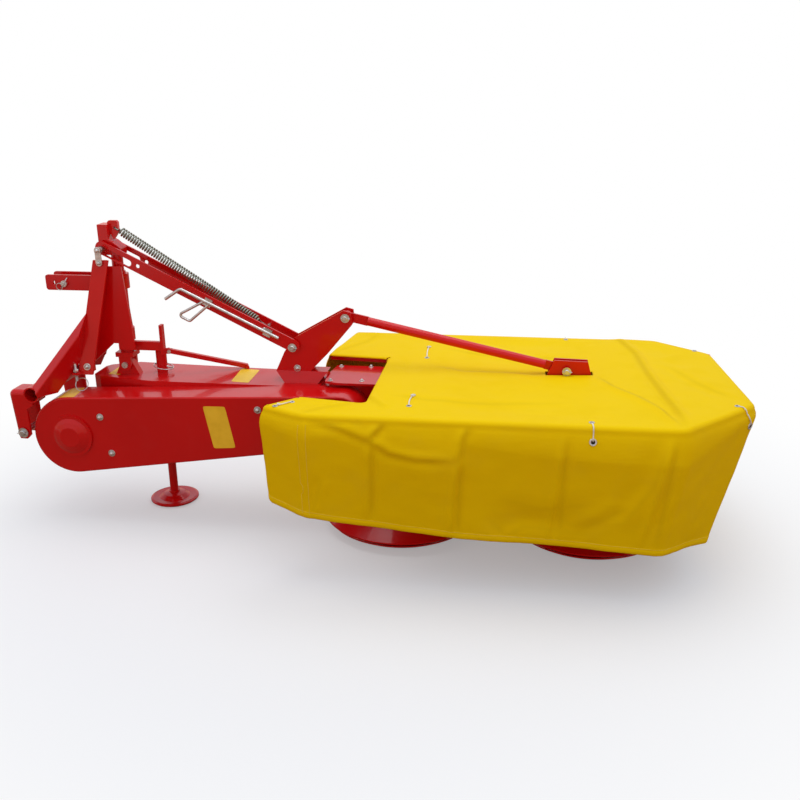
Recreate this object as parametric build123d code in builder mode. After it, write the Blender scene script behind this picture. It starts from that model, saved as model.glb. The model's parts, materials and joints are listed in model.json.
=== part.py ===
"""Two-drum mower for a tractor's three-point linkage, parked on its leg and its two skid dishes.

X runs along the machine with the hitch towards -X, Y across it, Z up; the ground is Z = 0.
All sizes are in millimetres.
"""
from build123d import *
from math import atan2, cos, degrees, hypot, radians, sin
import os

os.makedirs("parts", exist_ok=True)

# ---------------------------------------------------------------- driving dimensions
DRUM_X = (164.0, 989.0)          # the two drum axes, both on Y = 0
MID_Y = 40.0                     # plane of hitch, post, link, tower and stay
POST_X = -1096.0                 # vertical swing axis
TILT_Z = 690.0                   # height of the tilt pin through the post's foot
INPUT = (-1276.0, 424.0)         # X, Z of the input shaft, centre of the large belt pulley
OUTPUT = (-76.0, 538.0)          # X, Z of the small belt pulley
GUARD_R = (176.0, 114.0)         # guard radius round the large and the small pulley
GUARD_Y = (-215.0, -62.0)        # front and back of the belt guard
BEAM_Z = (500.0, 640.0)          # underside and top of the main beam
LEG = (-955.0, 80.0)             # X, Y of the support leg
CANOPY_Z = 715.0                 # top of the canopy
MAST_PIN = (-1141.0, 1214.0)     # X, Z of the link's upper pin
LINK_PIN = (-314.0, 800.0)       # X, Z of the link's lower pin
STAY_PINS = ((-80.0, 934.0), (866.0, 727.0))   # X, Z of the stay's two pins
HITCH_HALF = 275.0               # half the width over the lower hitch brackets
LOWER_PIN = (-1489.0, 438.0)     # X, Z of the lower hitch pins
TOP_PIN = (-1331.0, 1060.0)      # X, Z of the top link pin
RUN_FIT = 0.05                   # radial clearance of every shaft that turns or slides


def at_y(y):
    """Upright plane at Y = y that reads X to the right and Z up; extrusions grow towards -Y."""
    return Plane.XZ.offset(-y)


def along(start, end, side=(0, 1, 0)):
    """Plane at start whose normal points to end, and whose local X is as near side as can be."""
    run = Vector(*end) - Vector(*start)
    normal = run.normalized()
    across = Vector(*side) - normal * Vector(*side).dot(normal)
    return Plane(origin=start, x_dir=across, z_dir=normal)


def length(start, end):
    return (Vector(*end) - Vector(*start)).length


def save(piece, name):
    """Label a finished sub-part and write it."""
    piece.part.label = name
    export_step(piece.part, f"parts/{name}.step")


# ---------------------------------------------------------------- hitch frame
TUBE_R, TUBE_WALL = 35.0, 6.0
TUBE_X, TUBE_Z = -1429.0, 614.0
BRACKET_Y, BRACKET_T = 110.0, 12.0    # bracket width across, strap thickness
PIN_R = 14.0
# side outline of a bracket, X and Z: a strap bent round the link's ball, closed over the tube
BRACKET = ((-1539.3, 632), (TUBE_X, 632), (TUBE_X, 566), (-1460, 546), (-1458, 426), (-1476, 408),
           (-1510, 408), (-1524, 424), (-1539.3, 632))

with BuildPart() as hitch_tube:
    with BuildSketch(at_y(MID_Y + HITCH_HALF + 4)):
        with Locations((TUBE_X, TUBE_Z)):
            Circle(TUBE_R)
            Circle(TUBE_R - TUBE_WALL, mode=Mode.SUBTRACT)
    extrude(amount=2 * (HITCH_HALF + 4))
save(hitch_tube, "hitch_tube")

# side, sign of Y away from the middle plane
SIDES = (("near", -1), ("far", 1))

for side, sign in SIDES:
    outer = MID_Y + sign * HITCH_HALF
    back, front = max(outer, outer - sign * BRACKET_Y), min(outer, outer - sign * BRACKET_Y)
    with BuildPart() as bracket:
        with BuildSketch(at_y(back)):
            with BuildLine():
                Polyline(*BRACKET)
            make_face()
        extrude(amount=BRACKET_Y)
        fillet(bracket.edges().filter_by(Axis.X).group_by(Axis.Z)[-1], 22)
        corner = (BRACKET[0][0], outer, BRACKET[0][1])
        fillet(bracket.edges().filter_by(Axis.Y).sort_by_distance(corner)[0], 24)
        with BuildSketch(at_y(back - BRACKET_T)):
            with Locations((-1500, 400)):
                Rectangle(200, 420)
        extrude(amount=BRACKET_Y - 2 * BRACKET_T, mode=Mode.SUBTRACT)
        with BuildSketch(at_y(back)):
            with Locations((TUBE_X, TUBE_Z)):
                Circle(TUBE_R)
            with Locations(LOWER_PIN):
                Circle(PIN_R)
        extrude(amount=BRACKET_Y, mode=Mode.SUBTRACT)
    save(bracket, f"hitch_bracket_{side}")


with BuildPart() as hitch_pins:
    for side, sign in SIDES:
        middle = MID_Y + sign * (HITCH_HALF - BRACKET_Y / 2)
        with BuildSketch(at_y(middle + BRACKET_Y / 2 + 12)):
            with Locations(LOWER_PIN):
                Circle(PIN_R)
        extrude(amount=BRACKET_Y + 24)
save(hitch_pins, "hitch_pins")

ARM_Z = (682.0, 712.0)                # side arms that reach back from the hitch tube
ARM_OFF = (100.0, 127.0)              # inner and outer face of an arm from the middle plane
CROSS_X = (-1340.0, -1285.0)          # the cross member that the mast stands on
ARM_END = {"near": -1206.0, "far": CROSS_X[1]}
BRACE_SEAT = 148.0                    # the braces bolt on pads this far from the middle plane
with BuildPart() as lower_frame:
    for side, sign in SIDES:
        reach = (MID_Y + sign * ARM_OFF[0], MID_Y + sign * ARM_OFF[1])
        with BuildSketch(at_y(max(reach))):
            with BuildLine():
                Polyline((TUBE_X - 12, TUBE_Z + 20), (-1398, ARM_Z[1]), (ARM_END[side], ARM_Z[1]),
                         (ARM_END[side], ARM_Z[0]), (-1366, ARM_Z[0]), (TUBE_X + 26, TUBE_Z + 6),
                         close=True)
            make_face()
        extrude(amount=ARM_OFF[1] - ARM_OFF[0])
        with BuildSketch(Plane.XY.offset(ARM_Z[0])):
            with Locations((ARM_END[side] - 28, MID_Y + sign * (ARM_OFF[1] + BRACE_SEAT) / 2)):
                Rectangle(56, BRACE_SEAT - ARM_OFF[1])
        extrude(amount=ARM_Z[1] - ARM_Z[0])
    with BuildSketch(Plane.XY.offset(ARM_Z[0])):
        with Locations((sum(CROSS_X) / 2, MID_Y)):
            Rectangle(CROSS_X[1] - CROSS_X[0], 2 * ARM_OFF[1])
    extrude(amount=ARM_Z[1] - ARM_Z[0])
    with BuildSketch(at_y(MID_Y + HITCH_HALF)):
        with Locations((TUBE_X, TUBE_Z)):
            Circle(TUBE_R)
    extrude(amount=2 * HITCH_HALF, mode=Mode.SUBTRACT)
save(lower_frame, "lower_frame")

CHEEK_Y, CHEEK_T = 43.0, 8.0          # inner face of a mast cheek from the middle plane, thickness
CHEEK_LOW = {"near": 765.0, "far": 800.0}     # underside of the cheeks beside the post
TOPS = {"near": (1140.0, 1170.0), "far": (1110.0, 1100.0)}    # top of cheek and of brace
# right edge of a cheek at top and bottom, and the lower edge of the strap down to the frame
CHEEK_X = {"near": (-1060.0, -1034.0), "far": (-1100.0, -1076.0)}
STRAP = {"near": ((-1110, 765), (-1110, 794), (-1132, 794), (-1259, 682)),
         "far": ((-1178, 800), (-1178, 766), (-1274, 682))}
BRACE_X = {"near": -1226.0, "far": -1310.0}                   # X of a brace's foot
BRACE_LOW, BRACE_TOP = 690.0, (-1137.5, 1175.0)               # Z of the feet, X and Z at the top
BRACE_OFF = (153.0, 68.6)             # its distance from the middle plane at foot and top
BRACE_SIZE = (12.0, 68.0)             # thickness, width
DIAG_FOOT, DIAG_TOP = (-1416.0, 580.0), (-1150.0, 950.5)
DIAG_OFF = (262.0, 77.5)
DIAG_SIZE, DIAG_ROLL = (50.0, 95.0), 25.0
FAR_CUT = 4000.0
GUARD_TOP = INPUT[1] + GUARD_R[0]     # the guard swings under the frame's feet

for side, sign in SIDES:
    cheek_top, brace_top = TOPS[side]
    inner = MID_Y + sign * CHEEK_Y
    with BuildPart() as cheek:
        with BuildSketch(at_y(max(inner, inner + sign * CHEEK_T))):
            with BuildLine():
                Polyline((-1152, cheek_top), (CHEEK_X[side][0], cheek_top),
                         (CHEEK_X[side][1], CHEEK_LOW[side]), *STRAP[side],
                         (CROSS_X[1] - 20, ARM_Z[0]), (CROSS_X[1] - 20, ARM_Z[1] + 8), close=True)
            make_face()
        extrude(amount=CHEEK_T)
        add(lower_frame.part, mode=Mode.SUBTRACT)
    save(cheek, f"mast_cheek_{side}")

    brace_start = (BRACE_X[side], MID_Y + sign * BRACE_OFF[0], BRACE_LOW)
    brace_end = (BRACE_TOP[0], MID_Y + sign * BRACE_OFF[1], BRACE_TOP[1])
    with BuildPart() as brace:
        with BuildSketch(along(brace_start, brace_end).offset(-30)):
            Rectangle(*BRACE_SIZE)
        extrude(amount=length(brace_start, brace_end) + 30)
        fillet(brace.edges().group_by(SortBy.LENGTH)[-1], 3)
        with BuildSketch(Plane.XY.offset(brace_top)):
            Rectangle(FAR_CUT, FAR_CUT)
        extrude(amount=100, mode=Mode.SUBTRACT)
        with BuildSketch(Plane.XY.offset(ARM_Z[0] - 60)):
            Rectangle(FAR_CUT, FAR_CUT)
        extrude(amount=56, mode=Mode.SUBTRACT)
        with BuildSketch(Plane.XZ.offset(-(MID_Y + CHEEK_Y + CHEEK_T))):
            Rectangle(FAR_CUT, FAR_CUT)
        extrude(amount=2 * (CHEEK_Y + CHEEK_T), mode=Mode.SUBTRACT)
        add(lower_frame.part, mode=Mode.SUBTRACT)
    save(brace, f"brace_{side}")

    diag_start = (DIAG_FOOT[0], MID_Y + sign * DIAG_OFF[0], DIAG_FOOT[1])
    diag_end = (DIAG_TOP[0], MID_Y + sign * DIAG_OFF[1], DIAG_TOP[1])
    level = (DIAG_OFF[0] - DIAG_OFF[1], sign * (DIAG_TOP[0] - DIAG_FOOT[0]), 0)
    with BuildPart() as diagonal:
        with BuildSketch(along(diag_start, diag_end, level)):
            Rectangle(*DIAG_SIZE, rotation=-sign * DIAG_ROLL)
        extrude(amount=length(diag_start, diag_end))
        fillet(diagonal.edges().group_by(SortBy.LENGTH)[-1], 6)
        with BuildSketch(Plane.XY.offset(GUARD_TOP + 7)):
            Rectangle(FAR_CUT, FAR_CUT)
        extrude(amount=-400, mode=Mode.SUBTRACT)
        with BuildSketch(at_y(MID_Y + HITCH_HALF + 40)):
            with Locations((TUBE_X, TUBE_Z)):
                Circle(TUBE_R)
            with BuildLine():
                Polyline((TUBE_X + 4, BRACKET[0][1]), (-1600, BRACKET[0][1]), (-1600, 400),
                         (TUBE_X + 4, 400), (TUBE_X + 4, BRACKET[0][1]))
            make_face()
            with BuildLine():
                Polyline((-1256, 690), (-1167.5, 1175), (-900, 1175), (-900, 690), (-1256, 690))
            make_face()
        extrude(amount=2 * (HITCH_HALF + 40), mode=Mode.SUBTRACT)
        add(lower_frame.part, mode=Mode.SUBTRACT)
        add(brace.part, mode=Mode.SUBTRACT)
    save(diagonal, f"diagonal_{side}")

COLLAR_R = 42.0
POST_R = 30.0
BEARINGS = ((800.0, 56.0), (1036.0, 65.0))     # underside and height of each bearing
with BuildPart() as post_bearings:
    for low, tall in BEARINGS:
        with BuildSketch(Plane.XY.offset(low)):
            with Locations((POST_X, MID_Y)):
                Circle(COLLAR_R)
            with Locations((POST_X - COLLAR_R / 2, MID_Y)):
                Rectangle(COLLAR_R, 2 * CHEEK_Y)
            with Locations((POST_X, MID_Y)):
                Circle(POST_R + RUN_FIT, mode=Mode.SUBTRACT)
        extrude(amount=tall)
save(post_bearings, "post_bearings")

CLEVIS_Z = (1028.0, 1096.0)
CLEVIS_X = (-1420.0, POST_X - COLLAR_R)
CLEVIS_T = 10.0
TOP_PIN_R = 12.5
SPARE_HOLE = -1374.0                  # X of the second hole for the top link pin
with BuildPart() as top_clevis:
    for side, sign in SIDES:
        inner = MID_Y + sign * (CHEEK_Y - CLEVIS_T)
        with BuildSketch(at_y(max(inner, inner + sign * CLEVIS_T))):
            with Locations((sum(CLEVIS_X) / 2, sum(CLEVIS_Z) / 2)):
                Rectangle(CLEVIS_X[1] - CLEVIS_X[0], CLEVIS_Z[1] - CLEVIS_Z[0])
            with Locations(TOP_PIN, (SPARE_HOLE, TOP_PIN[1])):
                Circle(TOP_PIN_R, mode=Mode.SUBTRACT)
        extrude(amount=CLEVIS_T)
        fillet(top_clevis.edges().filter_by(Axis.Y).group_by(Axis.X)[0], 12)
save(top_clevis, "top_link_clevis")

with BuildPart() as top_pin:
    with BuildSketch(at_y(MID_Y + CHEEK_Y + 16)):
        with Locations(TOP_PIN):
            Circle(TOP_PIN_R)
    extrude(amount=2 * (CHEEK_Y + 16))
save(top_pin, "top_link_pin")

# ---------------------------------------------------------------- turning post and its head
FORK_X = 41.0                         # half length of the fork under the post
FORK_Y = (21.0, 38.0)                 # inner and outer face of its two ears
EYE_R = 28.0                          # round ends of the ears and of the lug between them
FORK_Z = (TILT_Z + 36, 747.0)         # its crotch and its top
NECK_R, NECK_Z = 25.0, 1112.0         # the post narrows above its upper bearing
HEAD_Z = 1195.0
TILT_PIN_R = 14.0
with BuildPart() as swing_post:
    with BuildSketch(Plane.XY.offset(FORK_Z[1])):
        with Locations((POST_X, MID_Y)):
            Circle(POST_R)
    extrude(amount=NECK_Z - FORK_Z[1])
    with BuildSketch(Plane.XY.offset(NECK_Z)):
        with Locations((POST_X, MID_Y)):
            Circle(NECK_R)
    extrude(amount=HEAD_Z - NECK_Z)
    with BuildSketch(at_y(MID_Y + FORK_Y[1])):
        with Locations((POST_X, (FORK_Z[0] + FORK_Z[1]) / 2)):
            Rectangle(2 * FORK_X, FORK_Z[1] - FORK_Z[0])
        with Locations((POST_X, (TILT_Z + FORK_Z[1]) / 2)):
            Rectangle(2 * EYE_R, FORK_Z[1] - TILT_Z)
        with Locations((POST_X, TILT_Z)):
            Circle(EYE_R)
            Circle(TILT_PIN_R + RUN_FIT, mode=Mode.SUBTRACT)
    extrude(amount=2 * FORK_Y[1])
    with BuildSketch(at_y(MID_Y + FORK_Y[0])):
        with Locations((POST_X, FORK_Z[0] - 50)):
            Rectangle(3 * FORK_X, 100)
    extrude(amount=2 * FORK_Y[0], mode=Mode.SUBTRACT)
save(swing_post, "swing_post")

HEAD_Y = 33.0
MAST_PIN_R = 12.5
# side outlines of the head block and of the spring's lug on it, X and Z
HEAD = ((-1130, HEAD_Z - 9), (-1062, HEAD_Z - 9), (-1062, 1216), (-1096, 1244), (-1112, 1252),
        (-1112, 1316), (-1157, 1316), (-1157, 1240), (-1174, 1228), (-1174, 1200),
        (-1160, HEAD_Z - 9), (-1130, HEAD_Z - 9))
LUG = ((-1120, 1300), (-1098, 1250), (-1073, 1282), (-1073, 1324), (-1080, 1331), (-1113, 1331),
       (-1120, 1324), (-1120, 1300))
LUG_HOLE = (-1088.0, 1300.0)
with BuildPart() as mast_head:
    with BuildSketch(at_y(MID_Y + HEAD_Y)):
        with BuildLine():
            Polyline(*HEAD)
        make_face()
        with Locations(MAST_PIN):
            Circle(MAST_PIN_R, mode=Mode.SUBTRACT)
    extrude(amount=2 * HEAD_Y)
    fillet(mast_head.edges().filter_by(Axis.Y).group_by(Axis.X)[0], 10)
    with BuildSketch(Plane.XY.offset(HEAD_Z - 9)):
        with Locations((POST_X, MID_Y)):
            Circle(NECK_R)
    extrude(amount=9, mode=Mode.SUBTRACT)
    with BuildSketch(at_y(MID_Y + 9)):
        with BuildLine():
            Polyline(*LUG)
        make_face()
        with Locations(LUG_HOLE):
            Circle(6, mode=Mode.SUBTRACT)
    extrude(amount=18)
save(mast_head, "mast_head")

with BuildPart() as mast_pin:
    with BuildSketch(at_y(MID_Y + 64)):
        with Locations(MAST_PIN):
            Circle(MAST_PIN_R)
    extrude(amount=128)
save(mast_pin, "mast_pin")

BAR_Z = (753.0, 794.0)                # stop bar that turns with the post
UPRIGHT_X, UPRIGHT_T = -925.0, 13.0
UPRIGHT_Z = (738.0, 872.0)
STRUT_PIN = (-900.0, 752.0)           # X, Z of the strut's hinge, on the middle plane
STRUT_PIN_R = 8.0
STRUT_YAW = 23.0                      # the strut runs towards the beam's far edge
STRUT_TOE = (345.0, 649.0)            # along the strut, Z: the bar that rests on the beam
TOE_R = 8.0
EAR_T, EAR_R = 8.0, 13.0


def strut_at(aside):
    """Upright plane along the strut, with its origin on the hinge, that reads outwards and up."""
    turn = radians(STRUT_YAW)
    return Plane(origin=(STRUT_PIN[0] - aside * sin(turn), MID_Y + aside * cos(turn), STRUT_PIN[1]),
                 x_dir=(cos(turn), sin(turn), 0), z_dir=(sin(turn), -cos(turn), 0))


with BuildPart() as release_bar:
    with BuildSketch(at_y(MID_Y + 10)):
        with Locations(((POST_X + UPRIGHT_X) / 2, sum(BAR_Z) / 2)):
            Rectangle(UPRIGHT_X - POST_X, BAR_Z[1] - BAR_Z[0])
    extrude(amount=20)
    with BuildSketch(Plane.XY.offset(BAR_Z[0])):
        with Locations((POST_X, MID_Y)):
            Circle(POST_R)
    extrude(amount=BAR_Z[1] - BAR_Z[0], mode=Mode.SUBTRACT)
    with BuildSketch(at_y(MID_Y + 15)):
        with Locations((UPRIGHT_X, sum(UPRIGHT_Z) / 2)):
            Rectangle(UPRIGHT_T, UPRIGHT_Z[1] - UPRIGHT_Z[0])
    extrude(amount=30)
    with BuildSketch(strut_at(EAR_T / 2)):
        Circle(EAR_R)
        with Locations((-12, 0)):
            Rectangle(24, 2 * EAR_R)
        Circle(STRUT_PIN_R, mode=Mode.SUBTRACT)
    extrude(amount=EAR_T)
save(release_bar, "release_bar")

with BuildPart() as strut_pin:
    with BuildSketch(strut_at(19)):
        Circle(STRUT_PIN_R)
    extrude(amount=38)
save(strut_pin, "strut_pin")

STRUT_GAP, STRUT_HALF = EAR_T / 2 + 1, 11.0
fall = degrees(atan2(STRUT_TOE[1] - STRUT_PIN[1], STRUT_TOE[0]))
reach = hypot(STRUT_TOE[0], STRUT_TOE[1] - STRUT_PIN[1])
with BuildPart() as release_strut:
    with BuildSketch(strut_at(STRUT_HALF)):
        with Locations(Location((0, 0, 0), (0, 0, fall))):
            with Locations((reach / 2, 1)):
                Rectangle(reach, 2 * STRUT_HALF - 2)
        Circle(STRUT_PIN_R + 4)
        Circle(STRUT_PIN_R + RUN_FIT, mode=Mode.SUBTRACT)
    extrude(amount=2 * STRUT_HALF)
    with BuildSketch(strut_at(STRUT_GAP)):
        Circle(EAR_R + 6)
    extrude(amount=2 * STRUT_GAP, mode=Mode.SUBTRACT)
    with BuildSketch(strut_at(22)):
        with Locations((STRUT_TOE[0], STRUT_TOE[1] - STRUT_PIN[1])):
            Circle(TOE_R)
    extrude(amount=44)
save(release_strut, "release_strut")

# ---------------------------------------------------------------- main beam
SLEEVE_R, LEG_R = 24.0, 19.0
BEAM_PLAN = ((-1250, 8), (-1215, -14), (-950, GUARD_Y[1]), (-190, GUARD_Y[1]), (-190, 165),
             (-590, 180), (-1116, 212), (-1250, 150), (-1250, 8))
with BuildPart() as main_beam:
    with BuildSketch(Plane.XY.offset(BEAM_Z[0])):
        with BuildLine():
            Polyline(*BEAM_PLAN)
        make_face()
        with Locations(LEG):
            Circle(SLEEVE_R, mode=Mode.SUBTRACT)
    extrude(amount=BEAM_Z[1] - BEAM_Z[0])
    chamfer(main_beam.edges().filter_by(Axis.Z).sort_by(Axis.X)[0:1], 20)
save(main_beam, "main_beam")

LUG_Y = 20.0                          # half the thickness of the lug between the fork's ears
with BuildPart() as tilt_lugs:
    with BuildSketch(at_y(MID_Y + LUG_Y)):
        with BuildLine():
            Polyline((POST_X - 56, BEAM_Z[1]), (POST_X + 56, BEAM_Z[1]), (POST_X + 26, TILT_Z + 10),
                     (POST_X - 26, TILT_Z + 10), (POST_X - 56, BEAM_Z[1]))
        make_face()
        with Locations((POST_X, TILT_Z)):
            Circle(EYE_R)
            Circle(TILT_PIN_R, mode=Mode.SUBTRACT)
    extrude(amount=2 * LUG_Y)
save(tilt_lugs, "tilt_lugs")

with BuildPart() as tilt_pin:
    with BuildSketch(at_y(MID_Y + FORK_Y[1] + 8)):
        with Locations((POST_X, TILT_Z)):
            Circle(TILT_PIN_R)
    extrude(amount=2 * (FORK_Y[1] + 8))
save(tilt_pin, "tilt_pin")

with BuildPart() as leg_sleeve:
    with BuildSketch(Plane.XY.offset(478)):
        with Locations(LEG):
            Circle(SLEEVE_R)
            Circle(LEG_R + RUN_FIT, mode=Mode.SUBTRACT)
    extrude(amount=286)
save(leg_sleeve, "leg_sleeve")

with BuildPart() as support_leg:
    with BuildSketch(Plane.XY.offset(30)):
        with Locations(LEG):
            Circle(LEG_R)
    extrude(amount=675)
save(support_leg, "support_leg")

FOOT_R = 112.0
with BuildPart() as foot_plate:
    with BuildSketch(Plane.XZ):
        with BuildLine():
            Polyline((0, 0), (FOOT_R - 8, 0), (FOOT_R, 6), (FOOT_R, 12), (FOOT_R - 10, 16),
                     (72, 14), (50, 30), (LEG_R + 6, 36), (LEG_R + 6, 44), (LEG_R, 44),
                     (LEG_R, 30), (0, 30), (0, 0))
        make_face()
    revolve(axis=Axis.Z)
foot_plate.part = foot_plate.part.moved(Location((LEG[0], LEG[1], 0)))
save(foot_plate, "foot_plate")

SADDLE_TOP = 690.0
# corners of the tower's saddle on the beam and under the tower: X, Y
SADDLE_FOOT = ((-356, -18), (-206, -18), (-206, 98), (-356, 98))
SADDLE_HEAD = ((-397, 4), (-166, 4), (-166, 76), (-397, 76))
with BuildPart() as saddle:
    for level, corners in ((BEAM_Z[1], SADDLE_FOOT), (SADDLE_TOP, SADDLE_HEAD)):
        with BuildSketch(Plane.XY.offset(level)):
            with BuildLine():
                Polyline(*corners, close=True)
            make_face()
    loft(ruled=True)
save(saddle, "tower_saddle")

TOWER = ((-395, SADDLE_TOP), (-241, SADDLE_TOP), (-161, 774), (-51, 905), (-56, 958), (-88, 966),
         (-307, 841), (-355, 776), (-395, SADDLE_TOP))
TOWER_Y, TOWER_T = 27.0, 8.0
with BuildPart() as tower:
    for side, sign in SIDES:
        inner = MID_Y + sign * TOWER_Y
        with BuildSketch(at_y(max(inner, inner + sign * TOWER_T))):
            with BuildLine():
                Polyline(*TOWER)
            make_face()
            with Locations(LINK_PIN):
                Circle(11, mode=Mode.SUBTRACT)
            with Locations(STAY_PINS[0]):
                Circle(11, mode=Mode.SUBTRACT)
        extrude(amount=TOWER_T)
    with BuildSketch(at_y(MID_Y + TOWER_Y)):
        with Locations((-250, 760)):
            Rectangle(60, 12, rotation=50)
    extrude(amount=2 * TOWER_Y)
save(tower, "link_tower")

with BuildPart() as linkage_pins:
    for centre, half in ((LINK_PIN, 60), (STAY_PINS[0], 46), (STAY_PINS[1], 40)):
        with BuildSketch(at_y(MID_Y + half)):
            with Locations(centre):
                Circle(11)
        extrude(amount=2 * half)
save(linkage_pins, "linkage_pins")

STAY_R = 19.0
stay_run = (STAY_PINS[1][0] - STAY_PINS[0][0], STAY_PINS[1][1] - STAY_PINS[0][1])
stay_angle = degrees(atan2(stay_run[1], stay_run[0]))
stay_length = hypot(*stay_run)
with BuildPart() as stay:
    with BuildSketch(at_y(MID_Y + 5)):
        for centre, shift in ((STAY_PINS[0], 48), (STAY_PINS[1], -48)):
            with Locations(centre):
                Circle(24)
            with Locations((centre[0] + shift * cos(radians(stay_angle)),
                            centre[1] + shift * sin(radians(stay_angle)))):
                Rectangle(96, 40, rotation=stay_angle)
        for centre in STAY_PINS:
            with Locations(centre):
                Circle(11, mode=Mode.SUBTRACT)
    extrude(amount=10)
    tube_start = tuple(STAY_PINS[0][i] + stay_run[i] * 94 / stay_length for i in (0, 1))
    tube_end = tuple(STAY_PINS[1][i] - stay_run[i] * 94 / stay_length for i in (0, 1))
    with BuildSketch(along((tube_start[0], MID_Y, tube_start[1]), (tube_end[0], MID_Y, tube_end[1]))):
        Circle(STAY_R)
    extrude(amount=stay_length - 188)
save(stay, "stay_rod")

# ---------------------------------------------------------------- lift link
ARM_Y, ARM_T, ARM_DEPTH = 44.0, 8.0, 56.0
ARM_RISE = 7.0                        # the arm's middle line above the line of its pins
SLOT_TRAVEL, SLOT_WIDTH = 130.0, 29.0
link_run = (LINK_PIN[0] - MAST_PIN[0], LINK_PIN[1] - MAST_PIN[1])
link_angle = degrees(atan2(link_run[1], link_run[0]))
link_length = hypot(*link_run)


def on_link(distance, aside=0.0):
    """X, Z of a point on the link, from the mast pin along it and aside above its centre line."""
    a = radians(link_angle)
    return (MAST_PIN[0] + distance * cos(a) - aside * sin(a),
            MAST_PIN[1] + distance * sin(a) + aside * cos(a))


for side, sign in SIDES:
    inner = MID_Y + sign * ARM_Y
    with BuildPart() as arm:
        with BuildSketch(at_y(max(inner, inner + sign * ARM_T))):
            with Locations(on_link(link_length / 2, ARM_RISE)):
                SlotCenterToCenter(link_length, ARM_DEPTH, rotation=link_angle)
            with Locations(on_link(SLOT_TRAVEL / 2)):
                SlotCenterToCenter(SLOT_TRAVEL, SLOT_WIDTH, rotation=link_angle, mode=Mode.SUBTRACT)
            with Locations(on_link(173, ARM_RISE)):
                Circle(9, mode=Mode.SUBTRACT)
            with Locations(on_link(link_length)):
                Circle(11 + RUN_FIT, mode=Mode.SUBTRACT)
            with Locations(on_link(link_length - 106)):
                Circle(7, mode=Mode.SUBTRACT)
        extrude(amount=ARM_T)
    save(arm, f"link_arm_{side}")

with BuildPart() as link_spacers:
    with BuildSketch(at_y(MID_Y + ARM_Y + ARM_T)):
        with Locations(on_link(link_length - 106)):
            Circle(7)
    extrude(amount=2 * (ARM_Y + ARM_T))
    with BuildSketch(at_y(MID_Y + ARM_Y)):
        with Locations(on_link(420, -14)):
            Circle(8)
    extrude(amount=2 * ARM_Y)
save(link_spacers, "link_spacers")

# the latch rod's line and its looped handle, X and Z, on the near side of the link
LATCH = ((-868, 1004), (-797, 1050), (-372, 842))
HANDLE = ((-690, 1000), (-817, 934), (-765, 908), (-668, 988))
with BuildPart() as latch_rod:
    for points, aside, radius, bend in ((LATCH, 9, 7, 16), (HANDLE, 9, 6, 11)):
        rod_y = MID_Y - ARM_Y - ARM_T - aside
        with BuildLine() as rod_path:
            FilletPolyline(*[(x, rod_y, z) for x, z in points], radius=bend)
        with BuildSketch(Plane(origin=rod_path.line @ 0, z_dir=rod_path.line % 0)):
            Circle(radius)
        sweep(path=rod_path.line)
    with BuildSketch(at_y(MID_Y - ARM_Y - ARM_T)):
        for x in (-679, -420):
            with Locations((x, LATCH[1][1] + (x - LATCH[1][0]) * -0.4894)):
                Rectangle(34, 34, rotation=link_angle)
    extrude(amount=9)
save(latch_rod, "latch_rod")

SPRING_TOP, SPRING_END = (-1052.0, 1264.0), (-454.0, 904.0)
with BuildPart() as lift_spring:
    start, end = (SPRING_TOP[0], MID_Y, SPRING_TOP[1]), (SPRING_END[0], MID_Y, SPRING_END[1])
    with BuildSketch(along(start, end)):
        Circle(19)
    extrude(amount=length(start, end))
save(lift_spring, "lift_spring")

# ---------------------------------------------------------------- belt drive
# round bulge over the large pulley's hub: radii of its rim and of its dome's rings
BULGE_R = (95.0, 82.0, 66.0, 44.0)
BULGE_RIM, BULGE_STEP = 9.0, 8.0
with BuildPart() as belt_guard:
    with BuildSketch(at_y(GUARD_Y[1])):
        with Locations(INPUT):
            Circle(GUARD_R[0])
        with Locations(OUTPUT):
            Circle(GUARD_R[1])
        make_hull()
    extrude(amount=GUARD_Y[1] - GUARD_Y[0])
    fillet(belt_guard.faces().sort_by(Axis.Y)[0].edges(), 7)
    with BuildSketch(at_y(GUARD_Y[0])):
        with Locations(INPUT):
            Circle(BULGE_R[0])
    extrude(amount=BULGE_RIM)
    for level, (low, high) in enumerate(zip(BULGE_R[1:], BULGE_R[2:])):
        bulge = GUARD_Y[0] - BULGE_RIM - level * BULGE_STEP
        for aside, radius in ((0, low), (-BULGE_STEP, high)):
            with BuildSketch(at_y(bulge + aside)):
                with Locations(INPUT):
                    Circle(radius)
        loft()
save(belt_guard, "belt_guard")

with BuildPart() as input_housing:
    with BuildSketch(at_y(160)):
        with Locations(INPUT):
            Circle(60)
    extrude(amount=160 - GUARD_Y[1])
    with BuildSketch(Plane.XY.offset(INPUT[1])):
        with Locations((-1222, 76)):
            Rectangle(90, 130)
    extrude(amount=BEAM_Z[0] - INPUT[1])
    with BuildSketch(at_y(160)):
        with Locations(INPUT):
            Circle(20 + RUN_FIT)
    extrude(amount=70, mode=Mode.SUBTRACT)
save(input_housing, "input_housing")

SPLINE_R = 17.45
with BuildPart() as input_shaft:
    with BuildSketch(at_y(168)):
        with Locations(INPUT):
            Circle(20)
    extrude(amount=76)
    with BuildSketch(at_y(248)):
        with Locations(INPUT):
            Circle(SPLINE_R)
    extrude(amount=80)
save(input_shaft, "input_shaft")

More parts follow.
